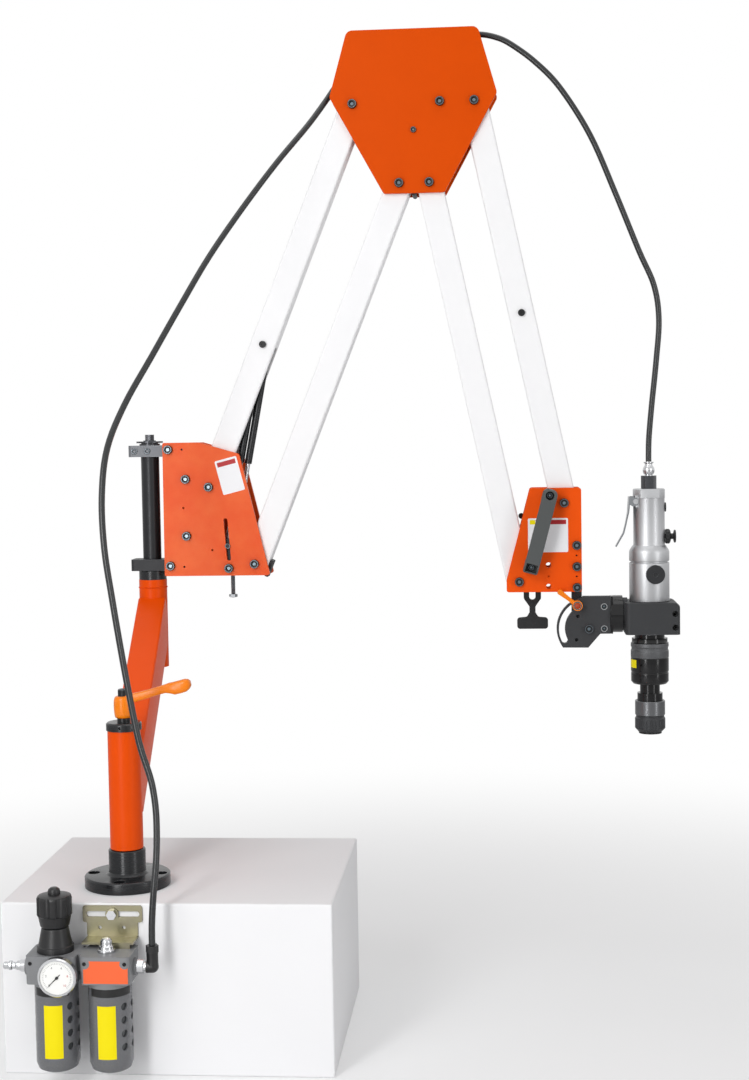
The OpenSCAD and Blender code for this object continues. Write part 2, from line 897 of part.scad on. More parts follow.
// bridge handle on the front plate, with a tapered bar and two feet
module wrist_handle() {
    a = handle_ends[0];
    b = handle_ends[1];
    span = norm(a - b);
    color("#3a3b3c")
    at(b)
    rotate([0, atan2(a[0] - b[0], a[1] - b[1]), 0])
    translate([0, -plate_out, 0])
    difference() {
        // side profile, extruded across the bar and rounded in front view
        intersection() {
            rotate([90, 0, 90])
            translate([0, 0, -14])
            linear_extrude(28)
            polygon(rounded([
                [0, -11], [0, 9], [-22, 13], [-27, 26], [-27, span - 26], [-22, span - 13], [0, span - 9],
                [0, span + 11], [-30, span + 11], [-37, span - 2], [-38, span / 2], [-37, 2], [-30, -11]
            ], [1, 1, 3, 10, 10, 3, 1, 1, 9, 10, 30, 10, 9]));
            sheet_xz(rounded([[-12.5, -10], [12.5, -10], [12.5, span + 11], [-12.5, span + 11]], [3, 3, 9, 9]),
                -60, 1);
        }
        for (z = [0, span])
        translate([0, 0, z])
        yrod(3.05, -60, 1);
        translate([0, 0, span])
        yrod(7.4, -50, -14);
        translate([-9.7, -50, -7])
        cube([19.4, 36, 14]);
    }
}

module wrist_block() {
    color("#2a2b2d")
    difference() {
        union() {
            translate([bolt_x - 8.5, arm_y - plate_in, wrist_base + 1])
            cube([17, 2 * plate_in, 90]);
            translate([bolt_x - 8.5, arm_y - 13.5, tilt_c[1] - 18])
            cube([17, 28, wrist_base - tilt_c[1] + 22]);
            at(tilt_c)
            yrod(18, -13.5, 4);
            translate([bolt_x - 8.5, arm_y - 13.5, tilt_c[1] - 18])
            cube([tilt_c[0] - bolt_x + 8.5, 17.5, 36]);
        }
        for (p = wrist_bolts)
        at(p)
        yrod(4.05, -plate_in - 1, plate_in + 1);
        at(tilt_c)
        yrod(5 + 0.02, -20, 20);
        at(stud_c)
        yrod(5 + run_gap, -14, 1);
    }
}

// ladder-lock rubber strap: ring, stem and T bar
module stow_strap() {
    color("#2a2b2c")
    at(strap_pin)
    difference() {
        sheet_xz(rounded([
            [-27, -91.5], [27, -91.5], [27, -72], [10, -70.5], [5.3, -63], [5.3, -52], [15.2, -38], [15.2, 2],
            [8, 14], [-8, 14], [-15.2, 2], [-15.2, -38], [-5.3, -52], [-5.3, -63], [-10, -70.5], [-27, -72]
        ], [5, 5, 5, 5, 4, 5, 7, 8, 6, 6, 8, 7, 5, 4, 5, 5]), strap_front, strap_back);
        yrod(5 + run_gap, plate_out, strap_back + 1);
        sheet_xz(rounded([[-5.5, -40], [5.5, -40], [5.5, -12], [-5.5, -12]], [5, 5, 2, 2]),
            plate_out, strap_back + 1);
    }
}

// ---------- tilting head ----------
sector_front = -27;
sector_back = -14;
module tilt_plate() {
    rim = arc(tilt_c, tilt_rim, 101, 216, 20);
    swivel_back = swivel_x - 21.7;
    c = tilt_c;
    color("#303133")
    difference() {
        union() {
            translate([0, arm_y, 0])
            sheet_xz(concat([c + [-1.3, -32.7], c + [19.4, -8.8], [swivel_back + 4, c[1] - 8.8],
                [swivel_back + 4, c[1] + 56], c + [-10.8, 56]], rim), sector_front, sector_back);
            translate([swivel_back, arm_y, roll_z])
            xrod(swivel_radius, 0, swivel_x - swivel_back);
        }
        // slot of the clamping stud, with round ends
        translate([0, arm_y, 0])
        sheet_xz(concat(arc(tilt_c, tilt_slot - tilt_slot_width / 2, stud_angle, stud_angle + tilt_travel, 30),
            arc(tilt_c, tilt_slot + tilt_slot_width / 2, stud_angle + tilt_travel, stud_angle, 30)),
            sector_front - 1, sector_back + 1);
        for (a = [0, tilt_travel])
        at(tilt_c + tilt_slot * [cos(stud_angle + a), sin(stud_angle + a)])
        yrod(tilt_slot_width / 2, sector_front - 1, sector_back + 1);
        at(tilt_c)
        yrod(5 + run_gap, -40, 0);
        for (p = [tilt_c + [-18.8, 21.8], tilt_c + [-21.2, -19]])
        at(p)
        yrod(3, sector_front - 1, sector_front + 8);
        for (z = [38, 0])
        at(tilt_c + [26.2, z])
        yrod(4.6, sector_front - 1, sector_front + 5);
        // bore of the roll spigot
        translate([swivel_x - 12, arm_y, roll_z])
        xrod(12 + run_gap, 0, 20);
    }
}

// clamping lever and its stud
module tilt_lever() {
    color("#f78a0a")
    at(stud_c)
    difference() {
        union() {
            yrod(5, sector_front - 6, -2);
            yrod(8.6, sector_front - 18, sector_front - 0.3);
            rotate([0, -51.8, 0])
            sheet_xz(rounded([[-3.4, 5], [3.4, 5], [3.2, 20], [4.8, 41.4], [-4.8, 41.4], [-3.2, 20]],
                [0.5, 0.5, 20, 3, 3, 20]), sector_front - 16, sector_front - 9);
        }
        yrod(5, sector_front - 19, sector_front - 14);
    }
}

module motor_clamp() {
    x0 = clamp_left;
    x1 = tool_c + 49;
    color("#38393b")
    difference() {
        union() {
            translate([x0, arm_y, roll_z])
            xrod(28, 0, 8);
            translate([x0 - 11.5, arm_y, roll_z])
            xrod(12, 0, 14);
            translate([(x0 + 3 + x1) / 2, arm_y, clamp_low])
            linear_extrude(clamp_high - clamp_low)
            round_rect(x1 - x0 - 3, 80, 8);
        }
        translate([tool_c, arm_y, clamp_low - 1])
        cylinder(r = nose_r + 0.02, h = 80);
        translate([tool_c, arm_y - 1.5, clamp_low - 1])
        cube([60, 3, 80]);
        for (z = [clamp_low + 12.5, clamp_high - 18.7])
        translate([x1 - 8.5, arm_y, z]) {
            yrod(3.4, -50, 50);
            yrod(5.5, -50, -30);
        }
        // rounded top corner at the split end
        translate([x1 - 10, arm_y, clamp_high - 10])
        difference() {
            translate([0, -60, 0])
            cube([20, 120, 20]);
            yrod(10, -61, 61);
        }
    }
}

module motor_body() {
    flat = grip_r - 4.5;
    color("#b5b6b8") {
        difference() {
            translate([tool_c, arm_y, 0])
            rotate_extrude()
            polygon([
                [0, clamp_low - 2], [nose_r, clamp_low - 2], [nose_r, clamp_high],
                [motor_r - 1, clamp_high], [motor_r, clamp_high + 1], [motor_r, lower_high - 2],
                [motor_r - 1, lower_high - 1], [motor_r - 3, lower_high - 1], [motor_r - 3, lower_high + 1.5],
                [motor_r - 0.8, lower_high + 1.5], [motor_r, lower_high + 2.5], [motor_r, lower_high + 17.5],
                [motor_r - 0.9, lower_high + 20.6], [motor_r - 2.8, lower_high + 23.6],
                [grip_r + 2.6, lower_high + 27], [grip_r + 0.8, grip_low - 2.4], [grip_r, grip_low],
                [grip_r, grip_high - 16], [grip_r + 0.5, grip_high - 15.4], [grip_r + 0.5, grip_high - 1.5],
                [grip_r - 1, grip_high], [0, grip_high]
            ]);
            // wrench flats at the top
            for (s = [0, 180])
            translate([tool_c, arm_y, grip_high - 15])
            rotate([0, 0, s])
            translate([-30, flat, 0])
            cube([60, 20, 30]);
            // milled flats for the trigger's ears
            for (s = [0, 180])
            translate([tool_c, arm_y, trigger_p[1] - 10])
            rotate([0, 0, s])
            translate([s == 0 ? -grip_r - 5 : 17.6, ear_in - 0.2, 0])
            cube([grip_r - 12.6, 20, 20.6]);
            translate([tool_c, arm_y, reverse_z])
            xrod(4 + run_gap, grip_r - 9, grip_r + 5);
            translate([tool_c, arm_y, grip_high - 32])
            xrod(8, grip_r - 6, grip_r + 5);
            translate([tool_c + 8, arm_y, lower_high - 20])
            yrod(16.5, -50, -motor_r + 6);
            translate([tool_c + 7, arm_y, clamp_low - 3])
            cylinder(r = 2, h = 4);
        }
        // pin and screw heads that the trigger turns on
        at(trigger_p) {
            yrod(2, -ear_out - 0.3, ear_out + 0.3);
            for (s = [0, 180])
            rotate([0, 0, s])
            yrod(4.6, -ear_out - 2.6, -ear_out - 0.2);
        }
    }
}

module motor_inlet() {
    z = grip_high;
    color("#c9cacc")
    translate([tool_c, arm_y, z]) {
        cylinder(r = 13.4, h = 22.6, $fn = 6);
        rotate_extrude()
        polygon([
            [0, 22], [7, 22], [7, 24.6], [8.4, 25.4], [9.8, 28.6], [10.3, 31.8], [9.9, 34.6], [8.4, 37.6],
            [6.8, 40], [6.3, 42], [6.8, 43.6], [8.6, 44.4], [8.6, 46], [0, 46]
        ]);
    }
}

module motor_plugs() {
    color("#1c1c1e") {
        translate([tool_c + 8, arm_y, lower_high - 20])
        difference() {
            yrod(16, -motor_r - 2, -motor_r + 6);
            yrod(4, -motor_r - 3, -motor_r);
        }
        translate([tool_c, arm_y, grip_high - 32])
        xrod(8, grip_r - 6, grip_r + 2.2);
    }
}

// bent lever with two ears that straddle the grip
ear_in = 13.2;
ear_out = 15.4;
module trigger_lever() {
    strip = rounded([[-8.6, 8.4], [-11.2, 8.4], [-13.2, -18], [-17.4, -38.4], [-21.4, -54], [-34.6, -77.4],
        [-32.6, -78.4], [-19.2, -55], [-15.2, -39], [-11, -18]], [0.6, 0.6, 15, 10, 10, 0.8, 0.8, 10, 10, 15]);
    wide = [[8.4, -ear_out], [-12, -ear_out], [-32, -7], [-78.4, -6], [-78.4, 6], [-32, 7], [-12, ear_out],
        [8.4, ear_out]];
    color("#d6d7d9")
    at(trigger_p)
    difference() {
        union() {
            for (s = [-ear_out, ear_in])
            sheet_xz(rounded([[-12, -4], [-4, -9], [4, -4], [4, 4], [-4, 8.4], [-11, 8.4]], [1, 3, 3, 3, 3, 1]),
                s, s + ear_out - ear_in);
            intersection() {
                sheet_xz(strip, -ear_out, ear_out);
                rotate([0, 90, 0])
                rotate([0, 0, 180])
                translate([0, 0, -40])
                linear_extrude(60)
                polygon(wide);
            }
        }
        yrod(2 + run_gap, -ear_out - 1, ear_out + 1);
    }
}

// reversing knob: a knurled disc, a neck and a flange, on its own stub
module reverse_knob() {
    color("#222224")
    translate([tool_c + grip_r + 0.6, arm_y, reverse_z])
    difference() {
        rotate([0, 90, 0])
        rotate_extrude()
        polygon([[0, -8], [4, -8], [4, 0], [11.6, 0], [12.7, 1.4], [12.7, 6.6], [10.5, 8.6], [5, 10], [5, 13.6],
            [10.4, 14.8], [11, 15.4], [11, 17.4], [10.2, 18], [0, 18]]);
        for (a = [0:30:330])
        rotate([a, 0, 0])
        translate([0, 0, 13.4])
        xrod(1.7, -1, 9.5);
    }
}

// ---------- chuck ----------
module chuck_body() {
    z = chuck_z;
    color("#3c3d40")
    translate([tool_c, arm_y, 0])
    difference() {
        rotate_extrude()
        polygon([
            [0, z + 7.6], [25.5, z + 7.6], [25.5, z + 1], [30.5, z + 1], [30.5, z - 6], [32.2, z - 7.5],
            [32.6, z - 13], [31.4, z - 15.5], [31.4, z - 18.5], [32.6, z - 21], [32.6, z - 32],
            [32, z - 32.5], [32.5, z - 33.5], [32.5, z - 56], [31.7, z - 57], [31.7, z - 58.5],
            [32.2, z - 59.5], [32.2, z - 74], [29, z - 78], [17, z - 78], [17, z - 94.5], [21.6, z - 94.5],
            [21.6, z - 107.5], [shank_r, z - 107.5], [shank_r, chuck_tip], [0, chuck_tip]
        ]);
        translate([0, 0, chuck_tip - 1])
        cylinder(d = adapter_bore, h = adapter_depth + 1);
        // two drive slots in the nose
        translate([-40, -4.5, chuck_tip - 1])
        cube([80, 9, 6]);
        translate([0, 0, z - 44])
        for (a = [0:120:240])
        rotate([0, 0, a])
        xrod(3, 29, 40);
    }
}

module chuck_sleeve() {
    z = chuck_z;
    r = sleeve_r;
    color("#a9aaad")
    translate([tool_c, arm_y, 0])
    difference() {
        rotate_extrude()
        polygon([
            [shank_r + run_gap, z - 121.5], [22.2, z - 121.5], [22.2, z - 107.8], [r - 1, z - 107.8],
            [r - 0.3, z - 109], [r - 0.3, z - 132], [r - 1.8, z - 134.5], [r - 1.8, z - 136.5],
            [r, z - 139], [r, z - 156], [r - 5, z - 161.5], [shank_r + run_gap, z - 161.5]
        ]);
        for (a = [0:18:342])
        rotate([0, 0, a])
        translate([r + 0.6, 0, z - 155])
        cylinder(r = 1.4, h = 15, $fn = 24);
    }
}

// ---------- air service unit ----------
module frl_bracket() {
    y = -bench_edge;
    shelf = frl_out - 9.5;
    color("#a89f6a") {
        difference() {
            union() {
                translate([0, y, 0])
                sheet_xz(rounded([[-38, -49], [39, -49], [39, -28], [46, -28], [46, -3], [-44, -3],
                    [-44, -28], [-38, -28]], [3, 3, 2, 3, 4, 4, 3, 2]), -3, 0);
                translate([-38, y - shelf, -52])
                cube([77, shelf, 3]);
                translate([lub_x - 3.5, y - shelf, -frl_top])
                cube([32, 3, frl_top - 50]);
            }
            for (x = [-34, 37.5])
            translate([x, y, -15.7])
            yrod(4.25, -5, 1);
            translate([-34, y - 5, -15.7 - 4.25])
            cube([71.5, 6, 8.5]);
            for (x = [-18, 18])
            translate([x, y, -36])
            yrod(2.6, -5, 1);
        }
        // bench bolt and washer
        translate([0.7, y, -15.7]) {
            yrod(4, -3, 22);
            difference() {
                yrod(10, -5, -3);
                yrod(4, -6, -2);
            }
            translate([0, -5, 0])
            rotate([90, 0, 0])
            cylinder(r = 7.5, h = 5.5, $fn = 6);
            yrod(4, -5, -3);
        }
    }
}

// one module of the unit: a rounded block with its bowl collar
module frl_block(x) {
    translate([x, frl_y, -frl_low]) {
        linear_extrude(frl_low - frl_top)
        round_rect(frl_width, frl_depth, 7);
        translate([0, 0, -8])
        cylinder(r = bowl_r, h = 8);
    }
}

module regulator_body() {
    color("#6f7072") {
        difference() {
            union() {
                frl_block(reg_x);
                translate([port_left, frl_y, port_z])
                xrod(13, 0, 13);
            }
            translate([port_left - 1, frl_y, port_z])
            xrod(7.05, 0, 26);
            translate([gauge_x, frl_y - frl_depth / 2, gauge_z])
            yrod(7.05, -1, 10);
            for (s = [-1, 1])
            translate([reg_x + s * 29.6, frl_y - frl_depth / 2, -frl_top - 10])
            yrod(3, -1, 4);
        }
    }
}

module lubricator_body() {
    color("#6f7072") {
        difference() {
            union() {
                frl_block(lub_x);
                translate([reg_x + frl_width / 2 - 0.5, frl_y - 16, -frl_top - 26])
                cube([frl_pitch - frl_width + 1, 32, 26]);
                translate([out_x - 6, frl_y, port_z])
                xrod(13, 0, 10);
            }
            translate([reg_x, frl_y, -frl_low])
            linear_extrude(frl_low - frl_top)
            round_rect(frl_width + 0.02, frl_depth, 7);
            translate([out_x - 16, frl_y, port_z])
            xrod(7.05, 0, 24);
            for (s = [-1, 1])
            translate([lub_x + s * 29.6, frl_y - frl_depth / 2, -frl_top - 10])
            yrod(3, -1, 4);
        }
    }
}

module frl_tops() {
    z = -frl_top;
    color("#202022")
    translate([reg_x, frl_y, 0])
    rotate_extrude()
    polygon([[0, z], [27, z], [27, z + 8.5], [25, z + 9.5], [24, z + 14], [19.6, z + 35.5], [18.6, z + 36],
        [8, z + 36], [8, z + 40], [0, z + 40]]);
}

// knob with a tapered skirt, a lobed crown and a round button
module regulator_knob() {
    z = -frl_top + 37;
    color("#19191b")
    translate([reg_x, frl_y, 0])
    difference() {
        rotate_extrude()
        polygon([
            [0, z + 4.5], [8.5, z + 4.5], [8.5, z], [20, z], [21.2, z + 1.2], [24.4, z + 16], [25.8, z + 18],
            [25.8, z + 42], [24, z + 45.4], [18, z + 47], [9.2, z + 47.6], [9.2, z + 51.5], [8, z + 54.8],
            [5, z + 57], [0, z + 57.6]
        ]);
        for (a = [20:40:340])
        rotate([0, 0, a])
        translate([29.4, 0, z + 17])
        cylinder(r = 6.2, h = 40);
    }
}

module bowl_guards() {
    low = bowl_top - bowl_height;
    color("#5f6164")
    for (x = [reg_x, lub_x])
    translate([x, frl_y, 0])
    difference() {
        rotate_extrude()
        polygon([
            [bowl_r - 3, bowl_top], [bowl_r, bowl_top], [bowl_r, low + 12], [bowl_r - 3, low + 3], [bowl_r - 8, low],
            [8, low], [8, low + 3], [bowl_r - 9, low + 3], [bowl_r - 5.5, low + 6], [bowl_r - 3, low + 13]
        ]);
        for (a = [-76, 52, 90, 128, 180, 232])
        rotate([0, 0, a])
        for (k = [0:3])
        translate([0, 0, bowl_top - 27 - k * 20])
        yrod(5.6, -bowl_r - 1, -bowl_r + 8);
    }
}

module bowls() {
    low = bowl_top - bowl_height;
    color("#9fa7a6")
    for (x = [reg_x, lub_x])
    translate([x, frl_y, 0])
    rotate_extrude()
    polygon([
        [0, bowl_top], [bowl_r - 3.3, bowl_top], [bowl_r - 3.3, low + 16], [bowl_r - 9, low + 6], [6.5, low + 6],
        [6.5, low - 4], [5, low - 7], [0, low - 7]
    ]);
}

module gauge_case() {
    color("#d0d1d3")
    translate([gauge_x, frl_y - frl_depth / 2, gauge_z])
    rotate([90, 0, 0])
    rotate_extrude()
    polygon([
        [0, -9], [7, -9], [7, 3], [gauge_dia / 2 - 2.5, 3], [gauge_dia / 2, 5.5], [gauge_dia / 2, 16],
        [gauge_dia / 2 - 1.5, 18], [gauge_dia / 2 - 3.5, 18], [gauge_dia / 2 - 3.5, 14], [0, 14]
    ]);
}

module gauge_dial() {
    color("#f4f4f2")
    translate([gauge_x, frl_y - frl_depth / 2, gauge_z]) {
        yrod(gauge_dia / 2 - 3.7, -15, -14);
        rotate([0, 140, 0])
        translate([-0.6, -16, -4])
        cube([1.2, 1, 20]);
        yrod(2.4, -16.4, -15);
    }
}

module frl_fittings() {
    color("#c4c5c7") {
        // quick plug on the inlet, with its hex
        translate([port_left, frl_y, port_z]) {
            xrod(7, -1, 21);
            translate([-9, 0, 0])
            rotate([0, 90, 0])
            cylinder(r = 9.2, h = 8.9, $fn = 6);
            translate([-9, 0, 0])
            rotate([0, -90, 0])
            rotate_extrude()
            polygon([[0, 0], [6.6, 0], [6.6, 5], [5, 7], [5, 12], [6.8, 13], [6.8, 17], [5.4, 18.5], [5.4, 24],
                [4, 25.5], [0, 25.5]]);
        }
        // outlet nipple
        translate([out_x, frl_y, port_z]) {
            xrod(7, -15, 3);
            translate([4, 0, 0])
            rotate([0, 90, 0])
            cylinder(r = 10.4, h = 10, $fn = 6);
            xrod(7, 3, 18);
        }
        // sight dome on the lubricator
        translate([lub_x - 3, frl_y - 4, -frl_top])
        rotate_extrude()
        polygon([[0, 0], [13, 0], [13, 4], [11, 5], [11, 9], [9, 10.5], [8.4, 17], [6, 20], [0, 21]]);
    }
}

module outlet_elbow() {
    color("#161617")
    translate([out_x + 18, frl_y, port_z])
    union() {
        xrod(9, 0, 9);
        translate([9, 0, 0])
        sphere(r = 9);
        translate([9, 0, 0])
        cylinder(r = 8.6, h = 22);
        translate([9, 0, 22])
        cylinder(r = 9.6, h = 10, $fn = 6);
    }
}

// ---------- air hose ----------
// the two lengths meet behind the elbow, end to end, a short gap apart
hose_joint = [322, arm_y, 1305];
hose_dir = [0.726, 0, 0.688];
end_gap = 0.4;
hose_start = [hose_x, frl_y, port_z + 32 + end_gap];
hose_low_route = [
    hose_start, hose_start + [0.2, 1, 28], [73, -144, 34], [75.5, -131, 88], [73, -118, 142], [63, -108, 192],
    [46, -98, 240], [31, -90, 310], [18, -81, 376], [4, -69, 450], [-11, -50, 528], [-20, -20, 605],
    [-20, 14, 680], [0, 62, 742], [34, 108, 820], [72, 156, 902], [112, 208, 986], [160, 258, 1069],
    [213, 300, 1152], [262, 341, 1217], [294, 371, 1265], hose_joint - 14 * hose_dir,
    hose_joint - end_gap * hose_dir
];
hose_high_route = [
    hose_joint + end_gap * hose_dir, hose_joint + 14 * hose_dir, [362, arm_y, 1339], [435, arm_y, 1357],
    [500, arm_y, 1364], [557, arm_y, 1374], [608, arm_y, 1355], [650, arm_y, 1321], [692, arm_y, 1275],
    [742, arm_y, 1194], [784, arm_y, 1095], [823, arm_y, 997], [848, arm_y, 938], [856, arm_y, 880],
    [851, arm_y, 810], [843, arm_y, 735],
    [tool_c, arm_y, grip_high + 62], [tool_c, arm_y, grip_high + 46 + end_gap]
];

function spline(p, k, t) =
    let (a = p[max(k - 1, 0)], b = p[k], c = p[k + 1], d = p[min(k + 2, len(p) - 1)])
    0.5 * (2 * b + (c - a) * t + (2 * a - 5 * b + 4 * c - d) * t * t + (3 * b - a - 3 * c + d) * t * t * t);
function route(p, n) = concat([for (k = [0:len(p) - 2]) for (i = [0:n - 1]) spline(p, k, i / n)], [p[len(p) - 1]]);
function unit(v) = v / norm(v);

// tube of s sides swept along a route, with its ends square to the directions first and last
module hose_tube(p, r, s, first, last) {
    n = len(p);
    dirs = [unit(first), for (i = [1:n - 2]) unit(p[i + 1] - p[i - 1]), unit(last)];
    rings = [for (i = [0:n - 1])
        let (u = unit(cross(dirs[i], [0.3, 1, 0.1])), v = cross(dirs[i], u))
        for (k = [0:s - 1]) p[i] + r * (cos(360 * k / s) * u + sin(360 * k / s) * v)];
    faces = concat(
        [[for (k = [0:s - 1]) k]],
        [for (i = [0:n - 2]) for (k = [0:s - 1])
            [i * s + k, (i + 1) * s + k, (i + 1) * s + (k + 1) % s, i * s + (k + 1) % s]],
        [[for (k = [s - 1:-1:0]) (n - 1) * s + k]]
    );
    polyhedron(points = rings, faces = faces, convexity = 6);
}

module air_hose_lower() {
    color("#202022")
    hose_tube(route(hose_low_route, 2), hose_dia / 2, 10, [0, 0, 1], hose_dir);
}

module air_hose_upper() {
    color("#202022")
    hose_tube(route(hose_high_route, 2), hose_dia / 2, 10, hose_dir, [0, 0, -1]);
}

base_flange();
base_post();
frl_bracket();
regulator_body();
gauge_case();
gauge_dial();
lubricator_body();
frl_tops();
bowl_guards();
bowls();
frl_fittings();
outlet_elbow();
air_hose_lower();
regulator_knob();
lower_tube();
brace_tube();
upper_tube();
column_rings();
clamp_lever();
clamp_screw();
shoulder_shaft();
shaft_end_bolt();
shoulder_lower_block();
shoulder_upper_block();
shoulder_plate_front();
shoulder_plate_back();
shoulder_spacers();
shoulder_screws();
spring_anchor();
spring_adjuster();
upper_link_a();
upper_link_a_pin();
upper_link_b();
upper_link_b_caps();
gas_rods();
gas_cylinders();
elbow_plate_front();
elbow_plate_back();
elbow_spacers();
elbow_screws();
air_hose_upper();
forearm_link_a();
forearm_link_a_pin();
forearm_link_b();
wrist_plate_front();
wrist_plate_back();
wrist_screws();
wrist_handle();
wrist_block();
stow_strap();
tilt_plate();
tilt_lever();
motor_clamp();
motor_body();
motor_inlet();
motor_plugs();
trigger_lever();
reverse_knob();
chuck_body();
chuck_sleeve();
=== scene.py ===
"""Looks of an arm tapping machine: its finishes, dressed pieces, air hoses and a plain studio."""

import json
import logging
import math
from collections.abc import Iterable
from dataclasses import dataclass, field
from enum import Enum

import bmesh
import bpy
from mathutils import Matrix, Vector


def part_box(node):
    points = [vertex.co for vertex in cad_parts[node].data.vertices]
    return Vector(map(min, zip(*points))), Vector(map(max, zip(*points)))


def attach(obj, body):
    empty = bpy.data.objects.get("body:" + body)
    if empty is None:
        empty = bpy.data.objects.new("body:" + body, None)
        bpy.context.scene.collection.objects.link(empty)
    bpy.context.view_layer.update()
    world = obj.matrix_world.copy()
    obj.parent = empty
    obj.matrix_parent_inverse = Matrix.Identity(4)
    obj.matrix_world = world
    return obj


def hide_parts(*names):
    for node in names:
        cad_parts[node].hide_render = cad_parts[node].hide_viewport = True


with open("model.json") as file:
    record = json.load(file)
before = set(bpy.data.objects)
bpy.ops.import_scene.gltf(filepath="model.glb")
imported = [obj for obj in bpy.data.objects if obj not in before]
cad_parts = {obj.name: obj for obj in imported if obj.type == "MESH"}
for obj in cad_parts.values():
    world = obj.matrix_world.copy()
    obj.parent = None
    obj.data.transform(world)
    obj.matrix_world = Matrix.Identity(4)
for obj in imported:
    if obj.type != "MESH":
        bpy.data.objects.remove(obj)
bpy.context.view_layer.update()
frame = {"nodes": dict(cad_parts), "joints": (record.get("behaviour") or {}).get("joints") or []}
log = logging.getLogger("tapping_arm")

MM = 0.001
# Faces that meet at less than this are parts of one level face, in radians.
LEVEL_BEND = 0.01
# A level face whose border bends gently for more than this share is a facet of a curved one.
GENTLE_SHARE = 0.2
# Points of a solid that are closer than this are one, in metres.
MERGE = 2e-6
# Faces of a copied solid that bend less than this are joined, in radians.
FLAT_BEND = math.radians(0.4)
# Edges sharper than this are broken, in radians.
SHARP = math.radians(32)
# Clouds of colour for each metre, and how far the grain moves the roughness up and down.
PATCH_SCALE = 14.0
GLOSS_SWING = 0.06
# How far the lighter edge reaches in from an edge, in millimetres. The lighter edge is partly rubbed wear
# and partly a painted highlight.
RUB_AND_HIGHLIGHT_REACH = 0.9
JOINTS = {joint["name"]: joint for joint in frame["joints"]}
Point = tuple[float, float, float]
Outline = list[tuple[float, float]]


# ---------------------------------------------------------------- helpers


def linear(code: str) -> tuple[float, float, float, float]:
    """Turns an sRGB hex colour into Blender's linear colour.

    Args:
        code: The colour, such as "#E24A00".

    Returns:
        Red, green, blue and alpha.
    """
    parts = [int(code[i : i + 2], 16) / 255 for i in (1, 3, 5)]
    red, green, blue = (c / 12.92 if c <= 0.04045 else ((c + 0.055) / 1.055) ** 2.4 for c in parts)
    return red, green, blue, 1.0


def pivot(joint: str) -> Vector:
    """The place of a joint's axis in the frame, in metres."""
    return Vector(JOINTS[joint]["pos_m"])


def add(
    tree: bpy.types.NodeTree, kind: str, inputs: dict | None = None, **settings: object
) -> bpy.types.Node:
    """Adds a node with its settings and links.

    Args:
        tree: The node tree.
        kind: The node's type.
        inputs: For each input, by name or number, a value or the socket that feeds it.
        **settings: Properties of the node.

    Returns:
        The new node.
    """
    node = tree.nodes.new(kind)
    for name, value in settings.items():
        setattr(node, name, value)
    for name, value in (inputs or {}).items():
        if isinstance(value, bpy.types.NodeSocket):
            tree.links.new(value, node.inputs[name])
        else:
            node.inputs[name].default_value = value
    return node


def blend(tree: bpy.types.NodeTree, share: object, first: object, second: object) -> bpy.types.NodeSocket:
    """Mixes two colours.

    Args:
        tree: The material's nodes.
        share: The second colour's share.
        first: A colour or the socket that gives it.
        second: A colour or the socket that gives it.

    Returns:
        The mixed colour's socket.
    """
    # the mix node's colour sockets share their names with its number sockets, so they go by number
    return add(tree, "ShaderNodeMix", {0: share, 6: first, 7: second}, data_type="RGBA").outputs[2]


def rounded(corners: Outline, radii: Iterable[float], steps: int = 5) -> Outline:
    """Rounds the corners of an outline.

    Args:
        corners: The sharp corners in order.
        radii: A radius for each corner.
        steps: Points along each rounded corner, less one.

    Returns:
        The rounded outline.
    """
    points: Outline = []
    count = len(corners)
    for k, radius in enumerate(radii):
        here = Vector(corners[k])
        to_last = (Vector(corners[k - 1]) - here).normalized()
        to_next = (Vector(corners[(k + 1) % count]) - here).normalized()
        half = to_last.angle(to_next) / 2
        reach = radius / math.tan(half)
        centre = here + (to_last + to_next).normalized() * (radius / math.sin(half))
        first, last = here + to_last * reach - centre, here + to_next * reach - centre
        for step in range(steps + 1):
            spoke = first.lerp(last, step / steps).normalized() * radius
            points.append(tuple(centre + spoke))
    return points


def arc(centre: tuple[float, float], radius: float, start: float, end: float, steps: int) -> Outline:
    """Points on an arc, with its angles in degrees."""
    angles = [math.radians(start + (end - start) * i / steps) for i in range(steps + 1)]
    return [(centre[0] + radius * math.cos(a), centre[1] + radius * math.sin(a)) for a in angles]


def on_circle(radius: float, angle: float, level: float) -> Point:
    """A point round the Z axis in metres, from a radius and a level in millimetres."""
    return radius * MM * math.cos(angle), radius * MM * math.sin(angle), level * MM


def hexagon_lean(angle: float) -> float:
    """The cosine between a direction in radians and the nearest flat of a hexagon."""
    return math.cos((angle % (math.pi / 3)) - math.pi / 6)


def skinned(bm: bmesh.types.BMesh, rings: list[list[bmesh.types.BMVert]]) -> bmesh.types.BMesh:
    """Joins rings of equal length into one closed skin.

    Args:
        bm: The mesh that holds the rings.
        rings: The rings' corners, in order.

    Returns:
        The same mesh, with its faces outwards.
    """
    for low, high in zip(rings, rings[1:]):
        for k in range(len(low)):
            n = (k + 1) % len(low)
            bm.faces.new((low[k], low[n], high[n], high[k]))
    bm.faces.new(rings[0])
    bm.faces.new(rings[-1])
    bmesh.ops.recalc_face_normals(bm, faces=bm.faces)
    return bm


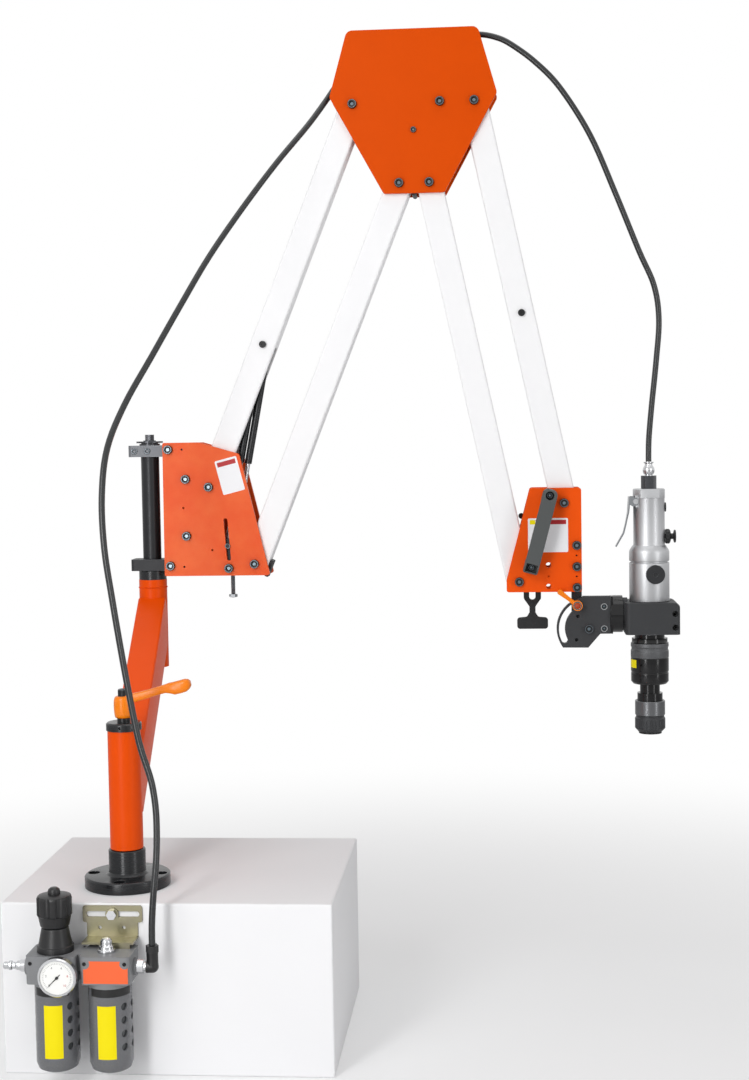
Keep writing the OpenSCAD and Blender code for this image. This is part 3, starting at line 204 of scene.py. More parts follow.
def turned(profile: Outline, place: Matrix, sides: int = 64) -> bmesh.types.BMesh:
    """Revolves a profile into a closed shape.

    Args:
        profile: Radius and height of each point in millimetres, from the axis to the axis or closed.
        place: Where the turned shape's own Z axis lies in the frame.
        sides: Faces round the axis.

    Returns:
        The mesh, with its faces outwards.
    """
    bm = bmesh.new()
    rings = []
    for radius, height in profile:
        if radius < 1e-6:
            rings.append([bm.verts.new((0, 0, height * MM))])
            continue
        rings.append([bm.verts.new(on_circle(radius, math.tau * k / sides, height)) for k in range(sides)])
    closed = len(rings[0]) > 1
    pairs = list(zip(rings, rings[1:] + rings[:1])) if closed else list(zip(rings, rings[1:]))
    for low, high in pairs:
        for k in range(sides):
            n = (k + 1) % sides
            loop = [low[k % len(low)], low[n % len(low)], high[n % len(high)], high[k % len(high)]]
            corners = list(dict.fromkeys(loop))
            if len(corners) > 2:
                bm.faces.new(corners)
    bmesh.ops.transform(bm, matrix=place, verts=bm.verts)
    bmesh.ops.recalc_face_normals(bm, faces=bm.faces)
    return bm


def prism(outline: Outline, low: float, high: float, place: Matrix) -> bmesh.types.BMesh:
    """Extrudes a flat outline along its own Z axis.

    Args:
        outline: Points in millimetres.
        low: The extrusion's start in millimetres.
        high: Its end.
        place: Where the outline's own frame lies.

    Returns:
        The closed mesh.
    """
    bm = bmesh.new()
    base = [bm.verts.new((x * MM, y * MM, low * MM)) for x, y in outline]
    top = [bm.verts.new((x * MM, y * MM, high * MM)) for x, y in outline]
    bm.faces.new(base)
    bm.faces.new(top)
    for k in range(len(base)):
        n = (k + 1) % len(base)
        bm.faces.new((base[k], base[n], top[n], top[k]))
    bmesh.ops.transform(bm, matrix=place, verts=bm.verts)
    bmesh.ops.recalc_face_normals(bm, faces=bm.faces)
    return bm


def lofted(sections: list[list[Vector]]) -> bmesh.types.BMesh:
    """Joins closed sections of equal length into one closed skin."""
    bm = bmesh.new()
    return skinned(bm, [[bm.verts.new(p) for p in section] for section in sections])


def soften(bm: bmesh.types.BMesh, width: float, steps: int = 2) -> bmesh.types.BMesh:
    """Rounds the sharp edges of a closed mesh.

    Args:
        bm: The mesh.
        width: The rounding in millimetres.
        steps: Faces across each rounded edge.

    Returns:
        The same mesh.
    """
    sharp = [e for e in bm.edges if len(e.link_faces) == 2 and e.calc_face_angle(0) > SHARP]
    bmesh.ops.bevel(
        bm, geom=sharp, offset=width * MM, offset_type="OFFSET", segments=steps, profile=0.5,
        affect="EDGES", clamp_overlap=True,
    )
    return bm


def gather(*parts: bmesh.types.BMesh) -> bmesh.types.BMesh:
    """Puts several meshes into one."""
    whole = bmesh.new()
    for part in parts:
        mesh = bpy.data.meshes.new("part")
        part.to_mesh(mesh)
        part.free()
        whole.from_mesh(mesh)
        bpy.data.meshes.remove(mesh)
    return whole


def facing(place: Vector, outward: Vector, up: Vector = Vector((0, 0, 1))) -> Matrix:
    """A frame at a place, with its Z axis outward and its Y axis as near to up as can be."""
    z = outward.normalized()
    x = up.cross(z).normalized()
    y = z.cross(x)
    turn = Matrix((x, y, z)).transposed().to_4x4()
    return Matrix.Translation(place) @ turn


def spot(x: float, y: float, z: float) -> Vector:
    """A point of the frame given in millimetres."""
    return Vector((x, y, z)) * MM


def placed(name: str, data: bpy.types.ID) -> bpy.types.Object:
    """Makes an object of a mesh, a curve, a lamp or a camera, and puts it in the scene."""
    made = bpy.data.objects.new(name, data)
    bpy.context.scene.collection.objects.link(made)
    return made


def shade(mesh: bpy.types.Mesh, smooth: float) -> None:
    """Smooths a mesh's curved faces and leaves its level faces flat.

    The normals that came with a solid go, because they no longer fit its broken edges.

    Args:
        mesh: The mesh.
        smooth: Edges sharper than this, in degrees, stay sharp.
    """
    limit = math.radians(smooth)
    carried = mesh.attributes.get("custom_normal")
    if carried:
        mesh.attributes.remove(carried)
    bm = bmesh.new()
    bm.from_mesh(mesh)
    seen = set()
    for first in bm.faces:
        if first in seen:
            continue
        seen.add(first)
        level, border, gentle = [first], 0.0, 0.0
        for face in level:
            for edge in face.edges:
                if len(edge.link_faces) != 2:
                    continue
                bend = edge.calc_face_angle(0)
                if bend >= LEVEL_BEND:
                    border += edge.calc_length()
                    gentle += edge.calc_length() * (bend < limit)
                    continue
                fresh = [other for other in edge.link_faces if other not in seen]
                seen.update(fresh)
                level.extend(fresh)
        for face in level:
            face.smooth = gentle > GENTLE_SHARE * border
    bm.to_mesh(mesh)
    bm.free()
    mesh.set_sharp_from_angle(angle=limit)


def piece(
    name: str,
    bm: bmesh.types.BMesh,
    finish: "Finish",
    body: str,
    replaces: Iterable[str] = (),
    smooth: float = 20,
) -> bpy.types.Object:
    """Makes a finished piece and puts it on its body.

    Args:
        name: The piece's name.
        bm: Its mesh, which is freed.
        finish: Its surface.
        body: The body that it moves with.
        replaces: The nodes that it stands for.
        smooth: Edges sharper than this, in degrees, stay sharp.

    Returns:
        The piece's object.
    """
    mesh = bpy.data.meshes.new(name)
    bm.to_mesh(mesh)
    bm.free()
    shade(mesh, smooth)
    return settle(placed(name, mesh), finish, body, replaces)


def settle(
    made: bpy.types.Object, finish: "Finish", body: str, replaces: Iterable[str] = ()
) -> bpy.types.Object:
    """Gives a piece its finish and its body.

    Args:
        made: The piece.
        finish: Its surface.
        body: The body that it moves with.
        replaces: The nodes that it stands for.

    Returns:
        The same object.
    """
    made.data.materials.clear()
    made.data.materials.append(finish.material())
    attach(made, body)
    if replaces:
        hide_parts(*replaces)
    log.info("%s on %s, %d faces", made.name, body, len(made.data.polygons))
    return made


def copied(node: str) -> bmesh.types.BMesh:
    """Copies a node's solid as one merged mesh."""
    bm = bmesh.new()
    bm.from_mesh(frame["nodes"][node].data)
    bmesh.ops.remove_doubles(bm, verts=bm.verts, dist=MERGE)
    return bm


def broken(bm: bmesh.types.BMesh, width: float) -> bmesh.types.BMesh:
    """Joins the level faces of a copied solid and breaks its sharp edges.

    Args:
        bm: The copy.
        width: The broken edge in millimetres, or nothing to keep the edges sharp.

    Returns:
        The same mesh.
    """
    bmesh.ops.dissolve_limit(bm, angle_limit=FLAT_BEND, verts=bm.verts, edges=bm.edges)
    if width:
        soften(bm, width)
    bmesh.ops.triangulate(bm, faces=[f for f in bm.faces if len(f.verts) > 4])
    return bm


def machined(node: str, width: float) -> bmesh.types.BMesh:
    """Copies a node's solid with its sharp edges broken by a width in millimetres."""
    bm = copied(node)
    bmesh.ops.dissolve_degenerate(bm, edges=bm.edges, dist=MERGE)
    return broken(bm, width)


def slab(
    node: str, low: float, high: float, width: float = 0.3, axis: int = 2, hollow: bool = False
) -> bmesh.types.BMesh:
    """Copies the stretch of a node's solid between two levels, closed where it was cut.

    Args:
        node: The node.
        low: The lower level in millimetres.
        high: The upper level.
        width: The broken edge in millimetres.
        axis: Along X, Y or Z as 0, 1 or 2.
        hollow: True where the cuts meet a bore.

    Returns:
        The new mesh.
    """
    bm = copied(node)
    normal = Vector((axis == 0, axis == 1, axis == 2))
    for level, side in ((low, -1), (high, 1)):
        done = bmesh.ops.bisect_plane(
            bm, geom=[*bm.verts, *bm.edges, *bm.faces], dist=1e-7, plane_co=normal * level * MM,
            plane_no=normal * side, clear_outer=True,
        )
        rim = [item for item in done["geom_cut"] if isinstance(item, bmesh.types.BMEdge)]
        if rim and hollow:
            bmesh.ops.bridge_loops(bm, edges=rim)
        elif rim:
            bmesh.ops.holes_fill(bm, edges=rim)
    bmesh.ops.recalc_face_normals(bm, faces=bm.faces)
    return broken(bm, width)


# ---------------------------------------------------------------- finishes


class Grain(Enum):
    """How a surface was made, which gives its pattern."""

    PLAIN = "plain"
    PEEL = "sprayed powder, like orange peel"
    BRUSHED = "drawn along Z"
    TURNED = "turned round Z"
    CAST = "fine cast or moulded texture"
    SCUFFED = "rolled or rubbed, with scuffs"


@dataclass(frozen=True)
class Finish:
    """A surface and its material.

    Args:
        name: What the surface is.
        colour: Its main colour.
        shade: The colour of its darker or worn patches.
        grain: How it was made.
        size: Its grain in millimetres.
        relief: The height of the grain in millimetres.
        roughness: How matt it is.
        metallic: 1 for bare metal.
        coat: Strength of a clear or glossy coat.
        patch: Share of the shade colour in the patches.
        edge: The colour of its lighter edges, which are partly rubbed wear and partly a painted highlight,
            or nothing.
        glare: How much of the room a painted surface mirrors; 0.5 is plain plastic.
    """

    name: str
    colour: str
    shade: str
    grain: Grain = Grain.PLAIN
    size: float = 1.0
    relief: float = 0.0
    roughness: float = 0.4
    metallic: float = 0.0
    coat: float = 0.0
    patch: float = 0.3
    edge: str = ""
    glare: float = 0.5

    def material(self) -> bpy.types.Material:
        """The finish's material, made once."""
        known = bpy.data.materials.get(self.name)
        if known:
            return known
        made = bpy.data.materials.new(self.name)
        made.use_nodes = True
        tree = made.node_tree
        tree.nodes.clear()
        place = add(tree, "ShaderNodeTexCoord").outputs["Object"]
        stretch = {Grain.BRUSHED: (1, 1, 0.02), Grain.TURNED: (0.04, 0.04, 1)}.get(self.grain, (1, 1, 1))
        along = add(tree, "ShaderNodeMapping", {"Vector": place, "Scale": stretch}).outputs["Vector"]
        grain = add(
            tree, "ShaderNodeTexNoise", {"Vector": along, "Scale": 1 / (self.size * MM), "Detail": 3.0}
        ).outputs["Fac"]
        patches = add(
            tree, "ShaderNodeTexNoise",
            {"Vector": place, "Scale": PATCH_SCALE, "Detail": 4.0, "Roughness": 0.6},
        ).outputs["Fac"]
        share = add(
            tree, "ShaderNodeMapRange",
            {"Value": patches, "From Min": 0.4, "From Max": 0.75, "To Max": self.patch},
        ).outputs["Result"]
        colour = blend(tree, share, linear(self.colour), linear(self.shade))
        if self.edge:
            colour = self.worn(tree, colour)
        gloss = add(
            tree, "ShaderNodeMapRange",
            {"Value": grain, "From Min": 0.3, "From Max": 0.7,
             "To Min": max(self.roughness - GLOSS_SWING, 0.03), "To Max": self.roughness + GLOSS_SWING},
        ).outputs["Result"]
        surface = add(
            tree, "ShaderNodeBsdfPrincipled",
            {"Base Color": colour, "Roughness": gloss, "Metallic": self.metallic, "Coat Weight": self.coat,
             "Coat Roughness": 0.12, "Specular IOR Level": self.glare},
        )
        if self.relief:
            bump = add(
                tree, "ShaderNodeBump", {"Height": grain, "Strength": 0.6, "Distance": self.relief * MM}
            )
            tree.links.new(bump.outputs["Normal"], surface.inputs["Normal"])
        add(tree, "ShaderNodeOutputMaterial", {"Surface": surface.outputs["BSDF"]})
        return made

    def worn(self, tree: bpy.types.NodeTree, colour: bpy.types.NodeSocket) -> bpy.types.NodeSocket:
        """Brightens the edges: partly wear, where handling and machining rub the surface, and partly a
        painted highlight.

        Args:
            tree: The material's nodes.
            colour: The colour so far.

        Returns:
            The colour with bright edges.
        """
        # Lighter edges where the rounded normal leaves the true one: partly rubbed wear, partly a painted
        # highlight.
        round_normal = add(tree, "ShaderNodeBevel", {"Radius": RUB_AND_HIGHLIGHT_REACH * MM}, samples=4).outputs["Normal"]
        normal = add(tree, "ShaderNodeNewGeometry").outputs["Normal"]
        match = add(tree, "ShaderNodeVectorMath", {0: round_normal, 1: normal}, operation="DOT_PRODUCT")
        edge = add(
            tree, "ShaderNodeMapRange",
            {"Value": match.outputs["Value"], "From Min": 0.985, "From Max": 0.9, "To Max": 0.7},
        ).outputs["Result"]
        return blend(tree, edge, colour, linear(self.edge))


# Powder coat: polyester powder baked on steel. It gives a soft gloss broken up by orange peel.
ORANGE_PLATE = Finish(
    "orange powder coat on plate", "#EC5200", "#E04A00", Grain.PEEL, 2.6, 0.05, 0.4, glare=0.14
)
ORANGE_DEEP = Finish(
    "deep orange powder coat on plate", "#D84C00", "#CE4600", Grain.PEEL, 2.6, 0.05, 0.42, glare=0.06
)
ORANGE_TUBE = Finish(
    "orange powder coat on tube", "#E24C00", "#D44400", Grain.PEEL, 3.2, 0.03, 0.34, glare=0.12
)
ORANGE_HAMMERED = Finish(
    "hammered orange powder coat", "#E2500E", "#EE7434", Grain.PEEL, 2.2, 0.3, 0.38, patch=0.55, glare=0.25
)
# White powder coat on drawn aluminium tube: even and softly glossy.
WHITE_LINK = Finish(
    "white powder coat on links", "#F1F1F2", "#E9E9EB", Grain.PEEL, 3.0, 0.012, 0.42, glare=0.3
)
# Blackened steel: turned or milled, then blackened and oiled. It keeps crisp bright bands, and lighter
# edges that are partly rubbed wear and partly a painted highlight.
BLACK_STEEL = Finish(
    "blackened turned steel", "#202123", "#2A2B2D", Grain.TURNED, 1.6, 0.004, 0.26, 0.35, edge="#54565A"
)
SHAFT_BLACK = Finish("blackened ground shaft", "#2C2D2F", "#323335", Grain.PLAIN, 1.0, 0.0, 0.36, 0.6)
BLACK_BLOCK = Finish(
    "blackened milled steel", "#2A2B2D", "#36373A", Grain.SCUFFED, 1.5, 0.02, 0.46, 0.2,
    edge="#5C5E62", glare=0.3
)
GREY_BLOCK = Finish(
    "phosphated milled steel", "#6E7074", "#5C5E63", Grain.SCUFFED, 1.4, 0.03, 0.5, 0.4, edge="#8C8E92"
)
# Socket screws: black oxide over steel, with an oily sheen. The lighter ring on the chamfer is a painted
# highlight, and the light socket floor is a painted glint.
SCREW = Finish("black oxide screws", "#141517", "#1D1F22", Grain.SCUFFED, 0.8, 0.01, 0.4, 0.1, glare=0.35)
SCREW_RIM_HIGHLIGHT = Finish("rubbed chamfer of screws", "#666E74", "#4A5157", Grain.SCUFFED, 0.8, 0.01, 0.3, 0.8)
SCREW_GLINT = Finish("oily socket of screws", "#76848C", "#46525A", Grain.SCUFFED, 1.6, 0.01, 0.2, 0.7)
BRIGHT_STEEL = Finish(
    "bright zinc and chrome", "#C9CACC", "#A9ABAE", Grain.SCUFFED, 1.0, 0.005, 0.18, 1.0
)
DARK_STEEL = Finish("dark turned steel", "#4C4D50", "#3C3D40", Grain.TURNED, 0.9, 0.006, 0.3, 0.9)
PLAIN_STEEL = Finish("plain machined steel", "#8E9194", "#77797C", Grain.TURNED, 0.9, 0.01, 0.32, 1.0)
# Satin anodised aluminium: bead blasted, then anodised, so its highlights are wide and soft.
SATIN_ALUMINIUM = Finish(
    "satin anodised aluminium", "#B4B5B7", "#A8A9AB", Grain.BRUSHED, 0.7, 0.002, 0.42, 0.9
)
SATIN_SLEEVE = Finish("satin turned sleeve", "#6E6F71", "#626365", Grain.PLAIN, 0.6, 0.0, 0.3, 1.0)
DARK_ANODISED = Finish(
    "black anodised castings", "#343537", "#2E2F31", Grain.CAST, 0.9, 0.03, 0.55, 0.1,
    edge="#56585B", glare=0.3
)
GREY_RING = Finish("grey knurled ring", "#58595B", "#4C4D4F", Grain.CAST, 0.8, 0.03, 0.46, 0.5)
CHUCK_BLACK = Finish("polished black chuck", "#161617", "#1E1E20", Grain.TURNED, 0.9, 0.003, 0.16, 0.3)
CHUCK_NOSE = Finish("knurled dark nose", "#3A3B3D", "#303133", Grain.CAST, 0.8, 0.02, 0.44, 0.6)
# Amber levers: zinc castings with a glossy orange coat.
AMBER = Finish(
    "amber lever coat", "#EE7C04", "#F48C14", Grain.PEEL, 2.0, 0.02, 0.26, coat=0.15, glare=0.25
)
AMBER_DEEP = Finish("shaded amber socket", "#A8380A", "#8C2C08", Grain.PEEL, 1.0, 0.02, 0.4)
# Air unit: painted die cast bodies and moulded nylon guards.
GREY_CASTING = Finish(
    "grey painted casting", "#7E7F81", "#747577", Grain.CAST, 0.9, 0.04, 0.46, glare=0.4
)
GREY_GUARD = Finish("grey moulded guard", "#66676A", "#5C5D60", Grain.CAST, 0.9, 0.01, 0.24)
BLACK_NYLON = Finish(
    "black glass-filled nylon", "#19191A", "#202021", Grain.CAST, 0.8, 0.04, 0.38, glare=0.4
)
HANDLE_NYLON = Finish(
    "dark grey moulded handle", "#4A4D4D", "#424545", Grain.CAST, 0.9, 0.04, 0.46, glare=0.35
)
YELLOW_ZINC = Finish(
    "yellow zinc plate", "#8C8870", "#8A7F80", Grain.SCUFFED, 6.0, 0.01, 0.34, 1.0, patch=0.8
)
RUBBER = Finish("black rubber", "#242526", "#1C1D1E", Grain.CAST, 0.9, 0.03, 0.55, glare=0.3)
HOSE_RUBBER = Finish("black polyurethane hose", "#232526", "#191B1C", Grain.CAST, 1.2, 0.01, 0.24)
DIAL_WHITE = Finish("printed dial", "#EDEDEA", "#E4E4E0", Grain.PLAIN, 1.0, 0.0, 0.5)
DIAL_BLACK = Finish("black print", "#1A1A1A", "#262626", Grain.PLAIN, 1.0, 0.0, 0.5)
DIAL_RED = Finish("red print", "#B83A28", "#C04A36", Grain.PLAIN, 1.0, 0.0, 0.5)
CARD_WHITE = Finish("white label film", "#ECECEE", "#E2E2E6", Grain.PLAIN, 1.2, 0.0, 0.35, glare=0.3)
CARD_RED = Finish("red label print", "#B02428", "#9E2024", Grain.PLAIN, 1.2, 0.0, 0.4, glare=0.3)
CARD_YELLOW = Finish("yellow label film", "#EEDC00", "#E4D000", Grain.PLAIN, 1.2, 0.0, 0.4, glare=0.2)
CARD_ORANGE = Finish("orange label film", "#F0683A", "#E85E30", Grain.PLAIN, 1.2, 0.0, 0.4, glare=0.25)
# The clear bowls are drawn opaque dark grey: painted shade inside the guards, seen through the clear bowl.
BOWL_CLEAR = Finish(
    "dark bowl seen through its guard", "#3A3D3F", "#2C2E30", Grain.PLAIN, 2.0, 0.0, 0.12, coat=0.5
)


# ---------------------------------------------------------------- repeated pieces


@dataclass
class Repeat:
    """A geometry tree that puts a small piece at every point of a pattern.

    Args:
        name: The finished piece's name.
        template: The mesh that is repeated, round its own origin.
        places: Where each copy stands, as frames.
        finish: The copies' surface.
    """

    name: str
    template: bmesh.types.BMesh
    places: list[Matrix]
    finish: Finish

    def tree(self) -> bpy.types.NodeTree:
        """Builds the tree, with the small piece, its scale and its surface as named inputs."""
        tree = bpy.data.node_groups.new(self.name + "_pattern", "GeometryNodeTree")
        face = tree.interface
        face.new_socket("Geometry", in_out="INPUT", socket_type="NodeSocketGeometry")
        face.new_socket("Fastener", in_out="INPUT", socket_type="NodeSocketObject")
        face.new_socket("Scale", in_out="INPUT", socket_type="NodeSocketFloat")
        face.new_socket("Surface", in_out="INPUT", socket_type="NodeSocketMaterial")
        face.new_socket("Geometry", in_out="OUTPUT", socket_type="NodeSocketGeometry")
        given = add(tree, "NodeGroupInput")
        turn = add(tree, "GeometryNodeInputNamedAttribute", {"Name": "turn"}, data_type="FLOAT_VECTOR")
        shape = add(tree, "GeometryNodeObjectInfo", {"Object": given.outputs["Fastener"]})
        copies = add(
            tree, "GeometryNodeInstanceOnPoints",
            {"Points": given.outputs["Geometry"], "Instance": shape.outputs["Geometry"],
             "Rotation": turn.outputs["Attribute"], "Scale": given.outputs["Scale"]},
        )
        solid = add(tree, "GeometryNodeRealizeInstances", {"Geometry": copies.outputs["Instances"]})
        dressed = add(
            tree, "GeometryNodeSetMaterial",
            {"Geometry": solid.outputs["Geometry"], "Material": given.outputs["Surface"]},
        )
        add(tree, "NodeGroupOutput", {"Geometry": dressed.outputs["Geometry"]})
        return tree

    def build(self, body: str, replaces: Iterable[str] = (), smooth: float = 35) -> bpy.types.Object:
        """Makes the copies one plain mesh on a body.

        Args:
            body: The body that they move with.
            replaces: The nodes that they stand for.
            smooth: Edges sharper than this, in degrees, stay sharp.

        Returns:
            The finished piece.
        """
        shape_mesh = bpy.data.meshes.new(self.name + "_one")
        self.template.to_mesh(shape_mesh)
        self.template.free()
        shape = placed(self.name + "_one", shape_mesh)
        points = bpy.data.meshes.new(self.name + "_points")
        points.from_pydata([m.to_translation() for m in self.places], [], [])
        turns = points.attributes.new("turn", "FLOAT_VECTOR", "POINT")
        turns.data.foreach_set("vector", [v for m in self.places for v in m.to_euler()])
        carrier = placed(self.name + "_carrier", points)
        tree = self.tree()
        pattern = carrier.modifiers.new("pattern", "NODES")
        pattern.node_group = tree
        names = {item.name: item.identifier for item in tree.interface.items_tree if item.in_out == "INPUT"}
        pattern[names["Fastener"]] = shape
        pattern[names["Scale"]] = 1.0
        pattern[names["Surface"]] = self.finish.material()
        ready = carrier.evaluated_get(bpy.context.evaluated_depsgraph_get())
        mesh = bpy.data.meshes.new_from_object(ready)
        mesh.name = self.name
        shade(mesh, smooth)
        bpy.data.objects.remove(carrier)
        bpy.data.objects.remove(shape)
        bpy.data.node_groups.remove(tree)
        return settle(placed(self.name, mesh), self.finish, body, replaces)


def cap_screw(radius: float, height: float, ridges: int = 24) -> bmesh.types.BMesh:
    """A socket head cap screw's head, seated at its own origin with its top along Z.

    Args:
        radius: The head's radius in millimetres.
        height: The head's height.
        ridges: Grips of the knurled side.

    Returns:
        The head, with a knurled side and a hexagon socket.
    """
    bm = bmesh.new()
    sides = ridges * 2
    angles = [math.tau * k / sides for k in range(sides)]
    knurl = radius * 0.035
    flat = radius * 0.56 * math.cos(math.pi / 6)

    def ring(size: float, level: float, cut: float) -> list[bmesh.types.BMVert]:
        radii = [size - (cut if k % 2 else 0) for k in range(sides)]
        return [bm.verts.new(on_circle(r, a, level)) for r, a in zip(radii, angles)]

    def hexagon(level: float) -> list[bmesh.types.BMVert]:
        return [bm.verts.new(on_circle(flat / hexagon_lean(a), a, level)) for a in angles]

    return skinned(bm, [
        ring(radius, 0, 0), ring(radius, height * 0.08, knurl), ring(radius, height * 0.78, knurl),
        ring(radius * 0.99, height * 0.86, 0), ring(radius * 0.9, height, 0), ring(radius * 0.7, height, 0),
        hexagon(height * 0.97), hexagon(height * 0.4),
    ])


def screw_set(name: str, radius: float, height: float, places: list[Matrix], body: str,
              replaces: Iterable[str] = ()) -> None:
    """Socket screws: dark knurled heads, with a painted highlight on the chamfer and a painted glint in
    each socket.

    Args:
        name: What the screws hold.
        radius: Their heads' radius in millimetres.
        height: The heads' height.
        places: Where each head is seated, with Z outward.
        body: The body that they move with.
        replaces: The nodes that they stand for.
    """
    Repeat(name + "_screws", cap_screw(radius, height), places, SCREW).build(body, replaces)
    # The chamfer ring is a painted highlight: a lighter grey metal ring on the dark head.
    ring = [(radius * 0.74, height - 0.2), (radius * 0.95, height - 0.6), (radius * 0.9, height + 0.1),
            (radius * 0.78, height + 0.1)]
    Repeat(name + "_screw_rims", turned(ring, Matrix(), 32), places, SCREW_RIM_HIGHLIGHT).build(body)
    # The socket floor is a painted glint: a light bluish disc in the dark socket.
    floor = prism(arc((0, 0), radius * 0.4, 0, 300, 5), height * 0.4, height * 0.55, Matrix())
    Repeat(name + "_screw_sockets", floor, places, SCREW_GLINT).build(body)


def hex_nut(flats: float, height: float, bore: float) -> bmesh.types.BMesh:
    """A chamfered hexagon nut with its bolt's end, seated at its own origin along Z.

    Args:
        flats: Width across the flats in millimetres.
        height: The nut's height.
        bore: The bolt's radius.

    Returns:
        The nut.
    """
    bm = bmesh.new()
    sides = 48
    angles = [math.tau * k / sides for k in range(sides)]

    def ring(share: float, level: float, hexed: float) -> list[bmesh.types.BMVert]:
        points = []
        for a in angles:
            across = flats / 2 / hexagon_lean(a)
            size = across * hexed + flats / 2 * share * (1 - hexed)
            points.append(bm.verts.new(on_circle(size, a, level)))
        return points

    rows = [(1.0, 0.0, 1.0), (1.0, height * 0.85, 1.0), (0.93, height, 0.0), (0.75, height, 0.0)]
    bolt_end = [
        (bore * 1.08, height), (bore, height * 0.8), (bore, height * 1.08), (bore * 0.85, height * 1.12),
    ]
    rings = [ring(*row) for row in rows]
    rings += [[bm.verts.new(on_circle(size, a, level)) for a in angles] for size, level in bolt_end]
    return skinned(bm, rings)


def card(
    width: float, height: float, corner: float, place: Matrix, thick: float = 0.15
) -> bmesh.types.BMesh:
    """A thin label with rounded corners, centred on its place."""
    w, h = width / 2, height / 2
    outline = rounded([(-w, -h), (w, -h), (w, h), (-w, h)], [corner] * 4)
    return prism(outline, 0.0, thick, place)


def wrapped_card(
    name: str, axis: Vector, radius: float, left: float, right: float, low: float, high: float,
    finish: Finish, body: str,
) -> None:
    """A thin label bent round the front of an upright round piece.

    Args:
        name: The label's name.
        axis: A point on the round piece's axis.
        radius: Its radius in millimetres.
        left: The label's left edge, from the axis in millimetres.
        right: Its right edge.
        low: Its lower edge in the frame, in millimetres.
        high: Its upper edge.
        finish: Its surface.
        body: The body that it moves with.
    """
    steps = 30
    start, end = (math.asin(max(-1.0, min(1.0, edge / radius))) for edge in (left, right))
    angles = [start + (end - start) * k / steps for k in range(steps + 1)]
    faces = ((radius - 0.1, angles), (radius + 0.2, angles[::-1]))
    skin = [(size * math.sin(a), -size * math.cos(a)) for size, turn in faces for a in turn]
    place = Matrix.Translation(Vector((axis.x, axis.y, 0)))
    piece(name, prism(skin, low, high, place), finish, body, smooth=40)


FRONT = Vector((0, -1, 0))
BACK = Vector((0, 1, 0))


# ---------------------------------------------------------------- studio


